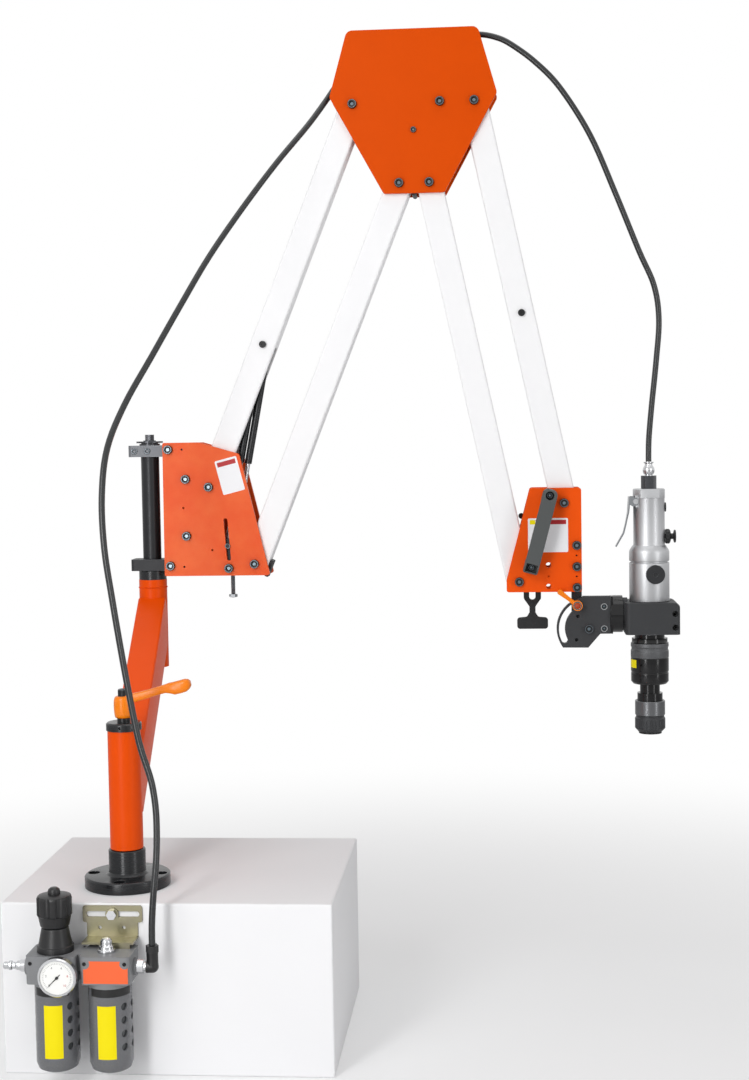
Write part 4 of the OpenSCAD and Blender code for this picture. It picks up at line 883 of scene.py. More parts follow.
@dataclass
class Studio:
    """The camera of the photograph, a pale floor and plinth, and soft lamps.

    Args:
        image: The photograph's size in pixels.
        lens_pixels: The camera's focal length in pixels of the photograph.
        eye: The camera's place in metres.
        yaw: Its turn to the left in degrees.
        pitch: Its tilt down.
        roll: Its roll.
        floor_level: The floor's height in metres.
        bench_front: The plinth's front face along Y, in metres.
    """

    image: tuple[int, int] = (749, 1080)
    lens_pixels: float = 1643.0
    eye: Point = (0.595, -2.476, 0.685)
    yaw: float = 4.66
    pitch: float = 3.54
    roll: float = -0.94
    floor_level: float = -0.262
    bench_front: float = -0.105

    def camera(self) -> None:
        """Makes the camera that took the photograph."""
        yaw, pitch, roll = (math.radians(a) for a in (self.yaw, self.pitch, self.roll))
        level = math.cos(pitch)
        ahead = Vector((-math.sin(yaw) * level, math.cos(yaw) * level, -math.sin(pitch)))
        right = Vector((math.cos(yaw), math.sin(yaw), 0))
        up = right.cross(ahead)
        tilted_right = right * math.cos(roll) + up * math.sin(roll)
        tilted_up = up * math.cos(roll) - right * math.sin(roll)
        data = bpy.data.cameras.new("camera")
        data.sensor_width = 36.0
        data.lens = self.lens_pixels * data.sensor_width / max(self.image)
        data.clip_end = 60
        camera = placed("camera", data)
        turn = Matrix((tilted_right, tilted_up, -ahead)).transposed().to_4x4()
        camera.matrix_world = Matrix.Translation(self.eye) @ turn
        bpy.context.scene.camera = camera

    def pale(self, name: str, code: str, fade: bool) -> bpy.types.Material:
        """A pale matt material for the floor and the plinth, with a faint cloud in its colour."""
        made = bpy.data.materials.new(name)
        made.use_nodes = True
        tree = made.node_tree
        tree.nodes.clear()
        place = add(tree, "ShaderNodeTexCoord").outputs["Object"]
        cloud = add(tree, "ShaderNodeTexNoise", {"Vector": place, "Scale": 2.0}).outputs["Fac"]
        tint = blend(tree, cloud, linear(code), linear("#F4F4F5"))
        matt = add(tree, "ShaderNodeBsdfPrincipled", {"Base Color": tint, "Roughness": 0.8})
        surface = matt.outputs["BSDF"]
        if fade:
            surface = self.faded(tree, place, surface)
        add(tree, "ShaderNodeOutputMaterial", {"Surface": surface})
        return made

    def faded(self, tree: bpy.types.NodeTree, place: bpy.types.NodeSocket,
              surface: bpy.types.NodeSocket) -> bpy.types.NodeSocket:
        """Lets the floor run out into the white background, for the eye only.

        Args:
            tree: The floor's nodes.
            place: Its object coordinates.
            surface: Its matt shader.

        Returns:
            The floor's shader. It is matt near the object, where the shadow falls, and white far off.
        """
        middle = (0.4, 0.1, self.floor_level)
        far = add(tree, "ShaderNodeVectorMath", {0: place, 1: middle}, operation="DISTANCE")
        share = add(
            tree, "ShaderNodeMapRange",
            {"Value": far.outputs["Value"], "From Min": 0.5, "From Max": 2.2, "To Min": 0.3, "To Max": 1.0},
            interpolation_type="SMOOTHSTEP",
        )
        seen = add(tree, "ShaderNodeLightPath").outputs["Is Camera Ray"]
        both = add(tree, "ShaderNodeMath", {0: share.outputs["Result"], 1: seen}, operation="MULTIPLY")
        white = add(tree, "ShaderNodeEmission", {"Color": linear("#FFFFFF"), "Strength": 1.0})
        mix = add(tree, "ShaderNodeMixShader", {0: both.outputs[0], 1: surface, 2: white.outputs[0]})
        return mix.outputs[0]

    def ground(self) -> None:
        """Makes the pale floor and a plain plinth that carries the flange and the air unit's bracket."""
        floor = bmesh.new()
        bmesh.ops.create_grid(floor, x_segments=1, y_segments=1, size=9.0)
        bmesh.ops.translate(floor, vec=(0.4, 0.0, self.floor_level), verts=floor.verts)
        plinth = bmesh.new()
        bmesh.ops.create_cube(plinth, size=1.0)
        low, high = Vector((-0.17, self.bench_front, self.floor_level)), Vector((0.33, 0.3, -0.0002))
        size = high - low
        bmesh.ops.scale(plinth, vec=size, verts=plinth.verts)
        bmesh.ops.translate(plinth, vec=(low + high) / 2, verts=plinth.verts)
        soften(plinth, 3.0, 3)
        for name, bm, code in (("floor", floor, "#EFEFF0"), ("plinth", plinth, "#E2E2E4")):
            mesh = bpy.data.meshes.new(name)
            bm.to_mesh(mesh)
            bm.free()
            mesh.materials.append(self.pale(name + " paint", code, name == "floor"))
            placed(name, mesh)

    def lamp(self, name: str, place: Point, aim: Point, size: tuple[float, float], watts: float) -> None:
        """Makes one soft lamp that points at a place.

        Args:
            name: The lamp's name.
            place: Where it stands, in metres.
            aim: Where it points.
            size: Its width and height.
            watts: Its power.
        """
        data = bpy.data.lights.new(name, "AREA")
        data.shape = "RECTANGLE"
        data.size, data.size_y = size
        data.energy = watts
        ahead = (Vector(aim) - Vector(place)).normalized()
        placed(name, data).matrix_world = facing(Vector(place), -ahead)

    def light(self) -> None:
        """Lights the object with two tall strips, which draw bands on round metal, in a white room."""
        self.lamp("left strip", (-0.5, -1.9, 1.0), (0.6, 0.3, 0.75), (0.4, 2.4), 24)
        self.lamp("right strip", (2.7, -1.5, 0.9), (0.6, 0.3, 0.7), (0.3, 2.4), 14)
        self.lamp("key lamp", (-1.4, -2.6, 2.6), (0.3, 0.3, 0.7), (1.8, 1.8), 30)
        self.lamp("top lamp", (0.4, 0.4, 3.2), (0.4, 0.3, 0.6), (2.4, 2.4), 22)
        world = bpy.data.worlds.new("white room")
        bpy.context.scene.world = world
        world.use_nodes = True
        tree = world.node_tree
        tree.nodes.clear()
        ray = add(tree, "ShaderNodeLightPath")
        seen = ray.outputs["Is Camera Ray"]
        for kind in ("Is Glossy Ray", "Is Transmission Ray"):
            either = add(tree, "ShaderNodeMath", {0: seen, 1: ray.outputs[kind]}, operation="MAXIMUM")
            seen = either.outputs[0]
        dim = add(tree, "ShaderNodeBackground", {"Color": linear("#FFFFFF"), "Strength": 0.36})
        white = add(tree, "ShaderNodeBackground", {"Color": linear("#FFFFFF"), "Strength": 1.0})
        mix = add(tree, "ShaderNodeMixShader", {0: seen, 1: dim.outputs[0], 2: white.outputs[0]})
        add(tree, "ShaderNodeOutputWorld", {"Surface": mix.outputs[0]})
        bpy.context.scene.view_settings.view_transform = "Standard"


# ---------------------------------------------------------------- air hoses


@dataclass
class AirHoses:
    """The two stretches of the black air hose, along the routes of the construction.

    Args:
        diameter: The hose's diameter in metres.
        lower: The route from the air unit to behind the elbow, in millimetres.
        upper: The route from there to the motor.
    """

    diameter: float = 0.010
    lower: list[Point] = field(default_factory=lambda: [
        (69.5, -150, -48.6), (69.7, -149, -21), (71, -147, 6), (73, -144, 34), (75, -138, 62),
        (75.5, -131, 88), (74.8, -124, 115), (73, -118, 142), (69, -112.5, 168), (63, -108, 192),
        (46, -98, 240), (31, -90, 310), (18, -81, 376), (4, -69, 450), (-11, -50, 528), (-20, -20, 605),
        (-18, 14, 677), (0, 62, 745), (34, 108, 820), (72, 156, 902), (112, 208, 986), (160, 258, 1069),
        (213, 300, 1149), (262, 341, 1217), (291, 366, 1262), (311.8, 380, 1295.4), (321.7, 380, 1304.7),
    ])
    upper: list[Point] = field(default_factory=lambda: [
        (322.3, 380, 1305.3), (332.2, 380, 1314.6), (366, 380, 1338), (400, 380, 1350), (435, 380, 1357),
        (500, 380, 1365), (530, 380, 1369), (557, 380, 1369.5), (583, 380, 1364), (608, 380, 1352),
        (650, 380, 1320), (692, 380, 1275), (742, 380, 1194), (784, 380, 1095), (823, 380, 997),
        (848, 380, 938), (856, 380, 880), (851, 380, 810), (843, 380, 735), (838, 380, 680),
        (837.06, 380, 650), (837.06, 380, 637.4),
    ])

    def smooth_route(self, points: list[Point], steps: int = 6) -> list[Vector]:
        """Runs a smooth curve through the route's points.

        Args:
            points: The route in millimetres.
            steps: Points of the curve for each of the route.

        Returns:
            The curve's points in metres.
        """
        given = [Vector(p) * MM for p in points]
        curve = []
        for k in range(len(given) - 1):
            a, b, c, d = (given[min(max(i, 0), len(given) - 1)] for i in (k - 1, k, k + 1, k + 2))
            for i in range(steps):
                t = i / steps
                curve.append(
                    0.5 * (2 * b + (c - a) * t + (2 * a - 5 * b + 4 * c - d) * t**2
                           + (3 * b - a - 3 * c + d) * t**3)
                )
        curve.append(given[-1])
        return curve

    def tube(self, name: str, points: list[Point], body: str, node: str) -> bpy.types.Object:
        """Makes one stretch of hose as a round curve.

        Args:
            name: The piece's name.
            points: Its route in millimetres.
            body: The body that it rides on.
            node: The node that it stands for.

        Returns:
            The hose.
        """
        route = self.smooth_route(points)
        data = bpy.data.curves.new(name, "CURVE")
        data.dimensions = "3D"
        data.bevel_depth = self.diameter / 2
        data.bevel_resolution = 4
        data.use_fill_caps = True
        spline = data.splines.new("POLY")
        spline.points.add(len(route) - 1)
        for point, place in zip(spline.points, route):
            point.co = (*place, 1)
        spline.use_smooth = True
        hose = placed(name, data)
        settle_curve(hose, HOSE_RUBBER, body, node)
        return hose

    def build(self) -> None:
        """Makes both stretches."""
        self.tube("air_hose_to_elbow", self.lower, "stand", "air_hose_lower")
        self.tube("air_hose_to_motor", self.upper, "elbow", "air_hose_upper")


def settle_curve(made: bpy.types.Object, finish: Finish, body: str, node: str) -> None:
    """Gives a curve piece its finish, its body and the node that it stands for."""
    made.data.materials.append(finish.material())
    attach(made, body)
    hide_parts(node)
    log.info("%s on %s", made.name, body)


# ---------------------------------------------------------------- sub-assemblies


# The plates' bolts: radius and height of the heads, and flats, height and bolt radius of the nuts.
PLATE_HEAD = (7.8, 6.6)
PLATE_NUT = (15, 5.3, 4)


def on_plate(spots: Iterable[tuple[float, float]], level: float, outward: Vector) -> list[Matrix]:
    """Frames on a plate's face, one for each place across and up; all in metres."""
    return [facing(Vector((x, level, z)), outward) for x, z in spots]


def plate_bolts(
    body: str, spots: list[tuple[float, float]], blind: Iterable[tuple[float, float]] = ()
) -> tuple[float, float]:
    """Screws through a pair of plates, with nuts behind them.

    Args:
        body: The plates' body, which begins the names of their nodes.
        spots: Each bolt's place across and up, in metres.
        blind: Screws of the front plate alone.

    Returns:
        The front plate's face and the back plate's face, in metres.
    """
    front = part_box(f"{body}_plate_front")[0].y
    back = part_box(f"{body}_plate_back")[1].y
    heads = on_plate([*spots, *blind], front, FRONT)
    screw_set(f"{body}_plate", *PLATE_HEAD, heads, body, [f"{body}_screws"])
    Repeat(f"{body}_nuts", hex_nut(*PLATE_NUT), on_plate(spots, back, BACK), SCREW).build(body)
    return front, back


@dataclass
class Dressing:
    """Pieces whose solids only need broken edges and a finish.

    Args:
        body: The body that they belong to.
        finishes: Each node's surface and broken edge in millimetres, or 0 to keep its solid.
    """

    body: str
    finishes: dict[str, tuple[Finish, float]]

    def build(self) -> None:
        """Breaks the edges of each solid and gives it its surface."""
        for node, (finish, width) in self.finishes.items():
            if width:
                piece(node + "_finished", machined(node, width), finish, self.body, [node])
            else:
                settle_cad(node, finish)


def settle_cad(node: str, finish: Finish) -> None:
    """Gives a carried-over node its surface and leaves its mesh alone."""
    slots = frame["nodes"][node].data.materials
    slots.clear()
    slots.append(finish.material())
    log.info("%s keeps its solid", node)


@dataclass
class Column:
    """Flange, tubes, brace and the clamp lever at the base.

    Args:
        weld_beads: Ripples round the bearing seat's weld.
        weld_drop: The weld's distance below the upper tube's top, in millimetres.
        bead: A ripple's radius.
        lever_sides: Points round the lever's arm.
    """

    weld_beads: int = 64
    weld_drop: float = 14.0
    bead: float = 1.3
    lever_sides: int = 28

    def lever(self) -> None:
        """The amber clamp lever: a swelling hub, and a rising arm that deepens into a grip."""
        low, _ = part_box("clamp_lever")
        base = low.z / MM
        # along the arm: distance, height of its middle, half depth (Y), half height (Z)
        rows = [
            (4.0, 28.6, 7.6, 6.4), (14.0, 29.8, 7.6, 6.9), (24.0, 32.3, 7.2, 6.6),
            (40.0, 36.6, 6.8, 6.3), (56.0, 41.4, 6.6, 6.2), (66.0, 44.2, 7.0, 6.4),
            (73.0, 45.0, 8.0, 8.0), (80.0, 44.8, 8.8, 9.5), (90.0, 47.2, 9.0, 9.7),
            (98.0, 49.6, 8.8, 9.6), (103.0, 51.6, 8.0, 7.4), (105.6, 52.6, 5.6, 4.4),
        ]
        sections = []
        for along, height, deep, tall in rows:
            ring = []
            for step in range(self.lever_sides):
                a = math.tau * step / self.lever_sides
                wide = math.copysign(abs(math.cos(a)) ** 0.6, math.cos(a)) * deep
                up = math.copysign(abs(math.sin(a)) ** 0.6, math.sin(a)) * tall
                ring.append(spot(along - up * 0.2, wide, base + height + up))
            sections.append(ring)
        hub = turned(
            [(6.05, 0), (12.2, 0), (13.2, 1), (14.0, 6), (14.6, 12), (14.8, 20), (14.5, 27), (13.2, 31.6),
             (11, 33.3), (9, 33.4), (6.05, 33.4)],
            Matrix.Translation((0, 0, low.z)), 48,
        )
        casting = gather(hub, lofted(sections))
        piece("clamp_lever_casting", casting, AMBER, "clamp_handle", ["clamp_lever"], 50)

    def weld(self) -> None:
        """Weld ripples in a ring round the upper tube, a little below its top."""
        low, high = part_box("upper_tube")
        centre = (low + high) / 2
        radius = (high.x - low.x) / 2
        drop = bmesh.new()
        bmesh.ops.create_icosphere(drop, subdivisions=1, radius=self.bead * MM)
        places = []
        level = high.z - self.weld_drop * MM
        for k in range(self.weld_beads):
            a = math.tau * k / self.weld_beads
            place = Vector((centre.x + radius * math.cos(a), centre.y + radius * math.sin(a), level))
            places.append(Matrix.Translation(place) @ Matrix.Rotation(a, 4, "Z"))
        Repeat("bearing_seat_weld", drop, places, ORANGE_TUBE).build("column", smooth=80)

    def build(self) -> None:
        """Builds the column."""
        Dressing("stand", {"base_flange": (BLACK_STEEL, 0.6), "base_post": (BLACK_STEEL, 0)}).build()
        Dressing("column", {
            "lower_tube": (ORANGE_TUBE, 0.4), "upper_tube": (ORANGE_TUBE, 0),
            "brace_tube": (ORANGE_TUBE, 0.4), "column_rings": (BLACK_STEEL, 0.4),
        }).build()
        low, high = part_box("clamp_screw")
        screw_set("clamp", 8, (high.z - low.z) / MM, [Matrix.Translation((0, 0, low.z))], "clamp_handle",
                  ["clamp_screw"])
        self.lever()
        self.weld()


@dataclass
class Shoulder:
    """Shaft, blocks, plates and gas springs of the shoulder, with its sizes in millimetres.

    Args:
        card_size: Width and height of the bare label.
        card_shift: Its place across and up from the upper pivot.
        card_turn: Its turn in degrees.
        band_rise: Its coloured band's height above its middle.
        spacer_shifts: The spacers' screws, across and up from the upper pivot.
        block_row: The blocks' screws, across from the shaft.
        block_rises: Their height above the lower and the upper block's underside.
        clamp_shifts: The clamp screws, across from the shaft.
        thread_turns: Turns of the adjusting bolt's thread.
        thread_pitch: Its pitch.
        thread_radii: Its root and its crest.
    """

    card_size: tuple[float, float] = (39.5, 60.5)
    card_shift: tuple[float, float] = (37.6, 19.6)
    card_turn: float = 14.2
    band_rise: float = 22.5
    spacer_shifts: tuple[tuple[float, float], ...] = ((-40.4, 14.1), (-40.4, -85.0))
    block_row: float = 38.0
    block_rises: tuple[float, float] = (9.0, 12.0)
    clamp_shifts: tuple[float, float] = (-23.0, 0.0)
    thread_turns: int = 40
    thread_pitch: float = 1.5
    thread_radii: tuple[float, float] = (3.35, 3.95)

    def screws(self) -> None:
        """Cap screws in front of the plates, nuts behind them, and the clamp screws of the split block."""
        lower_block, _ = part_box("shoulder_lower_block")
        upper_block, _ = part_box("shoulder_upper_block")
        shaft = pivot("shoulder_swivel")
        lower, upper = pivot("upper_rear"), pivot("upper_arm")
        row = shaft.x + self.block_row * MM
        low_rise, high_rise = self.block_rises
        spots = [
            (upper.x, upper.z), (lower.x, lower.z),
            (row, lower_block.z + low_rise * MM), (row, upper_block.z + high_rise * MM),
        ]
        spots += [(upper.x + x * MM, upper.z + z * MM) for x, z in self.spacer_shifts]
        blind = [(lower.x - 0.045, lower.z - 0.007)]
        front, back = plate_bolts("shoulder", spots, blind)
        screw_set("shoulder_back", *PLATE_HEAD, on_plate(blind, back, BACK), "shoulder")
        self.clamp_screws(shaft.x, upper_block)
        pin = pivot("spring_swing")
        end = [(pin.x, pin.z)]
        ends = on_plate(end, front - 0.2 * MM, FRONT) + on_plate(end, back + 0.2 * MM, BACK)
        screw_set("spring_pin", 4.6, 2.4, ends, "shoulder")

    def clamp_screws(self, axis: float, block: Vector) -> None:
        """The split block's clamp screws on their thick washers.

        Args:
            axis: The shaft's place along X, in metres.
            block: The block's lower corner.
        """
        spots = [(axis + x * MM, block.z + 10 * MM) for x in self.clamp_shifts]
        seats = on_plate(spots, block.y + 3.4 * MM, FRONT)
        washer = turned([(0, -3), (5.9, -3), (5.9, 3.6), (5.6, 3.9), (0, 3.9)], Matrix(), 32)
        Repeat("clamp_washers", washer, seats, DARK_STEEL).build("shoulder")
        screw_set("split_clamp", 4.9, 5.6, seats, "shoulder")

    def label(self) -> None:
        """A plain card on the front plate: white film with one band and no words."""
        low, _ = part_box("shoulder_plate_front")
        centre = pivot("upper_arm") + Vector((self.card_shift[0], 0, self.card_shift[1])) * MM
        centre.y = low.y
        place = facing(centre, FRONT) @ Matrix.Rotation(math.radians(self.card_turn), 4, "Z")
        piece("shoulder_card", card(*self.card_size, 2.5, place), CARD_WHITE, "shoulder")
        band = place @ Matrix.Translation(spot(0, self.band_rise, 0.15))
        piece("shoulder_card_band", card(33, 8, 0.6, band, 0.05), CARD_RED, "shoulder")

    def adjuster(self) -> None:
        """The spring's adjusting bolt, with its thread and hexagon head."""
        low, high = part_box("spring_adjuster")
        centre = (low + high) / 2
        root, crest = self.thread_radii
        pitch, sides = self.thread_pitch, 16
        bm = bmesh.new()
        rings = []
        for step in range(self.thread_turns * 2 + 1):
            level = low.z + 5 * MM + step * pitch / 2 * MM
            ring = []
            for k in range(sides):
                x, y, _ = on_circle(crest if step % 2 else root, math.tau * k / sides, 0)
                slope = pitch * k / sides * MM * 0.4
                ring.append(bm.verts.new((centre.x + x, centre.y + y, level + slope)))
            rings.append(ring)
        skinned(bm, rings)
        head = hex_nut(13, 5.0, 3.4)
        seat = Vector((centre.x, centre.y, low.z + 6 * MM))
        down = facing(seat, Vector((0, 0, -1)), Vector((0, 1, 0)))
        bmesh.ops.transform(head, matrix=down, verts=head.verts)
        piece("adjusting_bolt", gather(bm, head), PLAIN_STEEL, "adjuster", ["spring_adjuster"], 30)

    def build(self) -> None:
        """Builds the shoulder."""
        Dressing("shoulder", {
            "shoulder_shaft": (SHAFT_BLACK, 0.5), "shaft_end_bolt": (DARK_STEEL, 0.25),
            "shoulder_lower_block": (BLACK_BLOCK, 0.5), "shoulder_upper_block": (GREY_BLOCK, 0.5),
            "shoulder_plate_front": (ORANGE_HAMMERED, 0.7), "shoulder_plate_back": (ORANGE_HAMMERED, 0.7),
            "shoulder_spacers": (PLAIN_STEEL, 0.4), "spring_anchor": (BLACK_BLOCK, 0.3),
        }).build()
        self.screws()
        self.label()
        self.adjuster()
        Dressing("spring_rods", {"gas_rods": (BRIGHT_STEEL, 0)}).build()
        Dressing("spring_tubes", {"gas_cylinders": (BLACK_STEEL, 0)}).build()


@dataclass
class Arms:
    """The four links and the elbow plates.

    Args:
        small_drop: The small bolt's distance below the upper arm's pivots, in millimetres.
        stop_shift: The rubber stop's screw, across from the forearm's pivot.
    """

    small_drop: float = 46.2
    stop_shift: float = 58.3

    def build(self) -> None:
        """Builds the links and the elbow."""
        Dressing("front_link", {"upper_link_a": (WHITE_LINK, 0), "upper_link_a_pin": (SCREW, 0.2)}).build()
        Dressing("rear_link", {"upper_link_b": (WHITE_LINK, 0), "upper_link_b_caps": (RUBBER, 0.6)}).build()
        Dressing("outer_link", {
            "forearm_link_a": (WHITE_LINK, 0), "forearm_link_a_pin": (SCREW, 0.2),
        }).build()
        Dressing("inner_link", {"forearm_link_b": (WHITE_LINK, 0)}).build()
        Dressing("elbow", {
            "elbow_plate_front": (ORANGE_DEEP, 0.7), "elbow_plate_back": (ORANGE_DEEP, 0.7),
            "elbow_spacers": (BLACK_BLOCK, 0),
        }).build()
        outer, inner = pivot("forearm"), pivot("forearm_inner")
        link = pivot("elbow_level")
        opposite = (link.x + (outer.x - inner.x), link.z + (inner.z - outer.z))
        stop = (outer.x - self.stop_shift * MM, outer.z)
        front, back = plate_bolts(
            "elbow", [(link.x, link.z), opposite, (outer.x, outer.z), (inner.x, inner.z), stop]
        )
        small = [((link.x + outer.x) / 2, link.z - self.small_drop * MM)]
        screw_set("elbow_small", 5.0, 3.6, on_plate(small, front, FRONT), "elbow")
        Repeat("elbow_small_nut", hex_nut(9.6, 2.9, 4), on_plate(small, back, BACK), SCREW).build("elbow")


@dataclass
class Wrist:
    """Wrist plates, handle, block, strap and the tilting head, with its sizes in millimetres.

    Args:
        edge_shift: The screws of the plates' right edge, across from the outer pivot.
        edge_drops: Their distances below it.
        handle_rise: How far the handle's feet stand off the front plate.
        handle_feet: Their places across and up from the outer pivot.
        buffer_place: The small buffer's place across and up from it.
        tilt_front: The tilt pivot's screw seat, in front of the arm's middle.
        screw_shift: The tilt plate's screws, across from the tilt pivot.
        screw_rises: Their heights above it.
        flange_shift: The swivel flange's start, before the roll axis's joint.
    """

    edge_shift: float = 20.8
    edge_drops: tuple[float, ...] = (73.0, 109.5, 145.5)
    handle_rise: float = 14.0
    handle_feet: tuple[tuple[float, float], ...] = ((-24.8, 13.7), (-57.5, -109.0))
    buffer_place: tuple[float, float] = (-73.0, -24.0)
    tilt_front: float = 27.1
    screw_shift: float = 26.2
    screw_rises: tuple[float, float] = (38.0, 0.0)
    flange_shift: float = 21.7

    def screws(self) -> None:
        """Cap screws, nuts, the handle's screws and the small buffer behind the plates."""
        outer = pivot("wrist_level")
        inner = outer + (pivot("forearm_inner") - pivot("forearm"))
        spots = [(outer.x, outer.z), (inner.x, inner.z)]
        spots += [(outer.x + self.edge_shift * MM, outer.z - drop * MM) for drop in self.edge_drops]
        front, back = plate_bolts("wrist", spots)
        feet = [(outer.x + x * MM, outer.z + z * MM) for x, z in self.handle_feet]
        screw_set("handle", 5.0, 6.0, on_plate(feet, front - self.handle_rise * MM, FRONT), "wrist")
        self.strap_stud(back)
        x, z = self.buffer_place
        seat = facing(Vector((outer.x + x * MM, back, outer.z + z * MM)), BACK)
        buffer = turned([(0, -0.5), (5, -0.5), (5, 4.2), (4.2, 5), (0, 5)], seat, 24)
        piece("plate_buffer", buffer, RUBBER, "wrist")
        self.tilt_pivot()

    def strap_stud(self, plate: float) -> None:
        """The strap's stud, whose head lies just behind the strap.

        Args:
            plate: The back plate's outer face, in metres.
        """
        strap = pivot("strap_swing")
        reach = (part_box("stow_strap")[1].y - plate) / MM
        profile = [
            (0, -2), (5, -2), (5, reach + 0.9), (9, reach + 1), (9, reach + 3.4), (8, reach + 4),
            (0, reach + 4),
        ]
        stud = turned(profile, facing(Vector((strap.x, plate, strap.z)), BACK), 32)
        piece("strap_stud", stud, SCREW, "wrist")

    def tilt_pivot(self) -> None:
        """The shank, the screw and the washer that the head tilts on."""
        tilt = pivot("head_tilt")
        front = facing(Vector((tilt.x, pivot("forearm").y - self.tilt_front * MM, tilt.z)), FRONT)
        shank = turned([(0, -31), (4.95, -31), (4.95, 0.2), (0, 0.2)], front, 32)
        piece("tilt_pivot_shank", shank, DARK_STEEL, "wrist")
        screw_set("tilt_pivot", *PLATE_HEAD, [front], "wrist")
        washer = turned([(5.1, 0.05), (9, 0.05), (9, 1), (8.7, 1.2), (5.1, 1.2)], front, 48)
        piece("tilt_pivot_washer", washer, DARK_STEEL, "wrist")

    def head(self) -> None:
        """The tilt plate, its glossy swivel flange, its two screws and the clamping lever."""
        tilt, roll = pivot("head_tilt"), pivot("head_roll")
        low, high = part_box("tilt_plate")
        split = roll.x / MM - self.flange_shift
        casting = slab("tilt_plate", low.x / MM - 1, split, 0.4, 0)
        piece("tilt_plate_casting", casting, DARK_ANODISED, "head", ["tilt_plate"])
        piece("swivel_flange", slab("tilt_plate", split, high.x / MM + 1, 0.5, 0), CHUCK_BLACK, "head")
        spots = [(tilt.x + self.screw_shift * MM, tilt.z + z * MM) for z in self.screw_rises]
        screw_set("tilt_plate", 4.3, 1.2, on_plate(spots, roll.y - 22.6 * MM, FRONT), "head")
        ring = turned([(4.4, -0.6), (5.6, -0.6), (5.6, 0.1), (4.4, 0.1)], Matrix(), 32)
        seats = on_plate(spots, roll.y - 27 * MM, FRONT)
        Repeat("tilt_plate_seats", ring, seats, BRIGHT_STEEL).build("head")
        Dressing("tilt_handle", {"tilt_lever": (AMBER, 0.6)}).build()
        stud = pivot("tilt_clamp")
        face = facing(Vector((stud.x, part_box("tilt_lever")[0].y, stud.z)), FRONT)
        # The rim takes the screws' lighter chamfer finish: a painted highlight round the socket.
        rim = turned([(5.2, -0.3), (7.6, -0.3), (7.2, 0.3), (5.5, 0.3)], face, 40)
        piece("tilt_lever_rim", rim, SCREW_RIM_HIGHLIGHT, "tilt_handle")
        # The socket's floor is painted dark amber: painted shade in the recess.
        core = turned([(0, -4), (4.9, -4), (4.9, -2.2), (2.6, -1.6), (0, -1.6)], face, 32)
        piece("tilt_lever_core", core, AMBER_DEEP, "tilt_handle")

    def label(self) -> None:
        """A plain card under the handle: white film with one band and no words."""
        low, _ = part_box("wrist_plate_front")
        outer = pivot("wrist_level")
        centre = Vector((outer.x - 28 * MM, low.y, outer.z - 55.1 * MM))
        place = facing(centre, FRONT)
        piece("wrist_card", card(68.5, 58.5, 2.5, place), CARD_WHITE, "wrist")
        band = place @ Matrix.Translation(spot(5, 22.5, 0.15))
        piece("wrist_card_band", card(52, 7.5, 0.6, band, 0.05), CARD_RED, "wrist")
        field = place @ Matrix.Translation(spot(-26.3, 22.5, 0.15))
        piece("wrist_card_field", card(9.4, 7.5, 0.6, field, 0.05), CARD_YELLOW, "wrist")

    def build(self) -> None:
        """Builds the wrist and the head."""
        Dressing("wrist", {
            "wrist_plate_front": (ORANGE_PLATE, 0.7), "wrist_plate_back": (ORANGE_PLATE, 0.7),
            "wrist_handle": (HANDLE_NYLON, 0.6), "wrist_block": (BLACK_BLOCK, 0.5),
        }).build()
        self.screws()
        self.label()
        Dressing("strap", {"stow_strap": (RUBBER, 0.9)}).build()
        self.head()


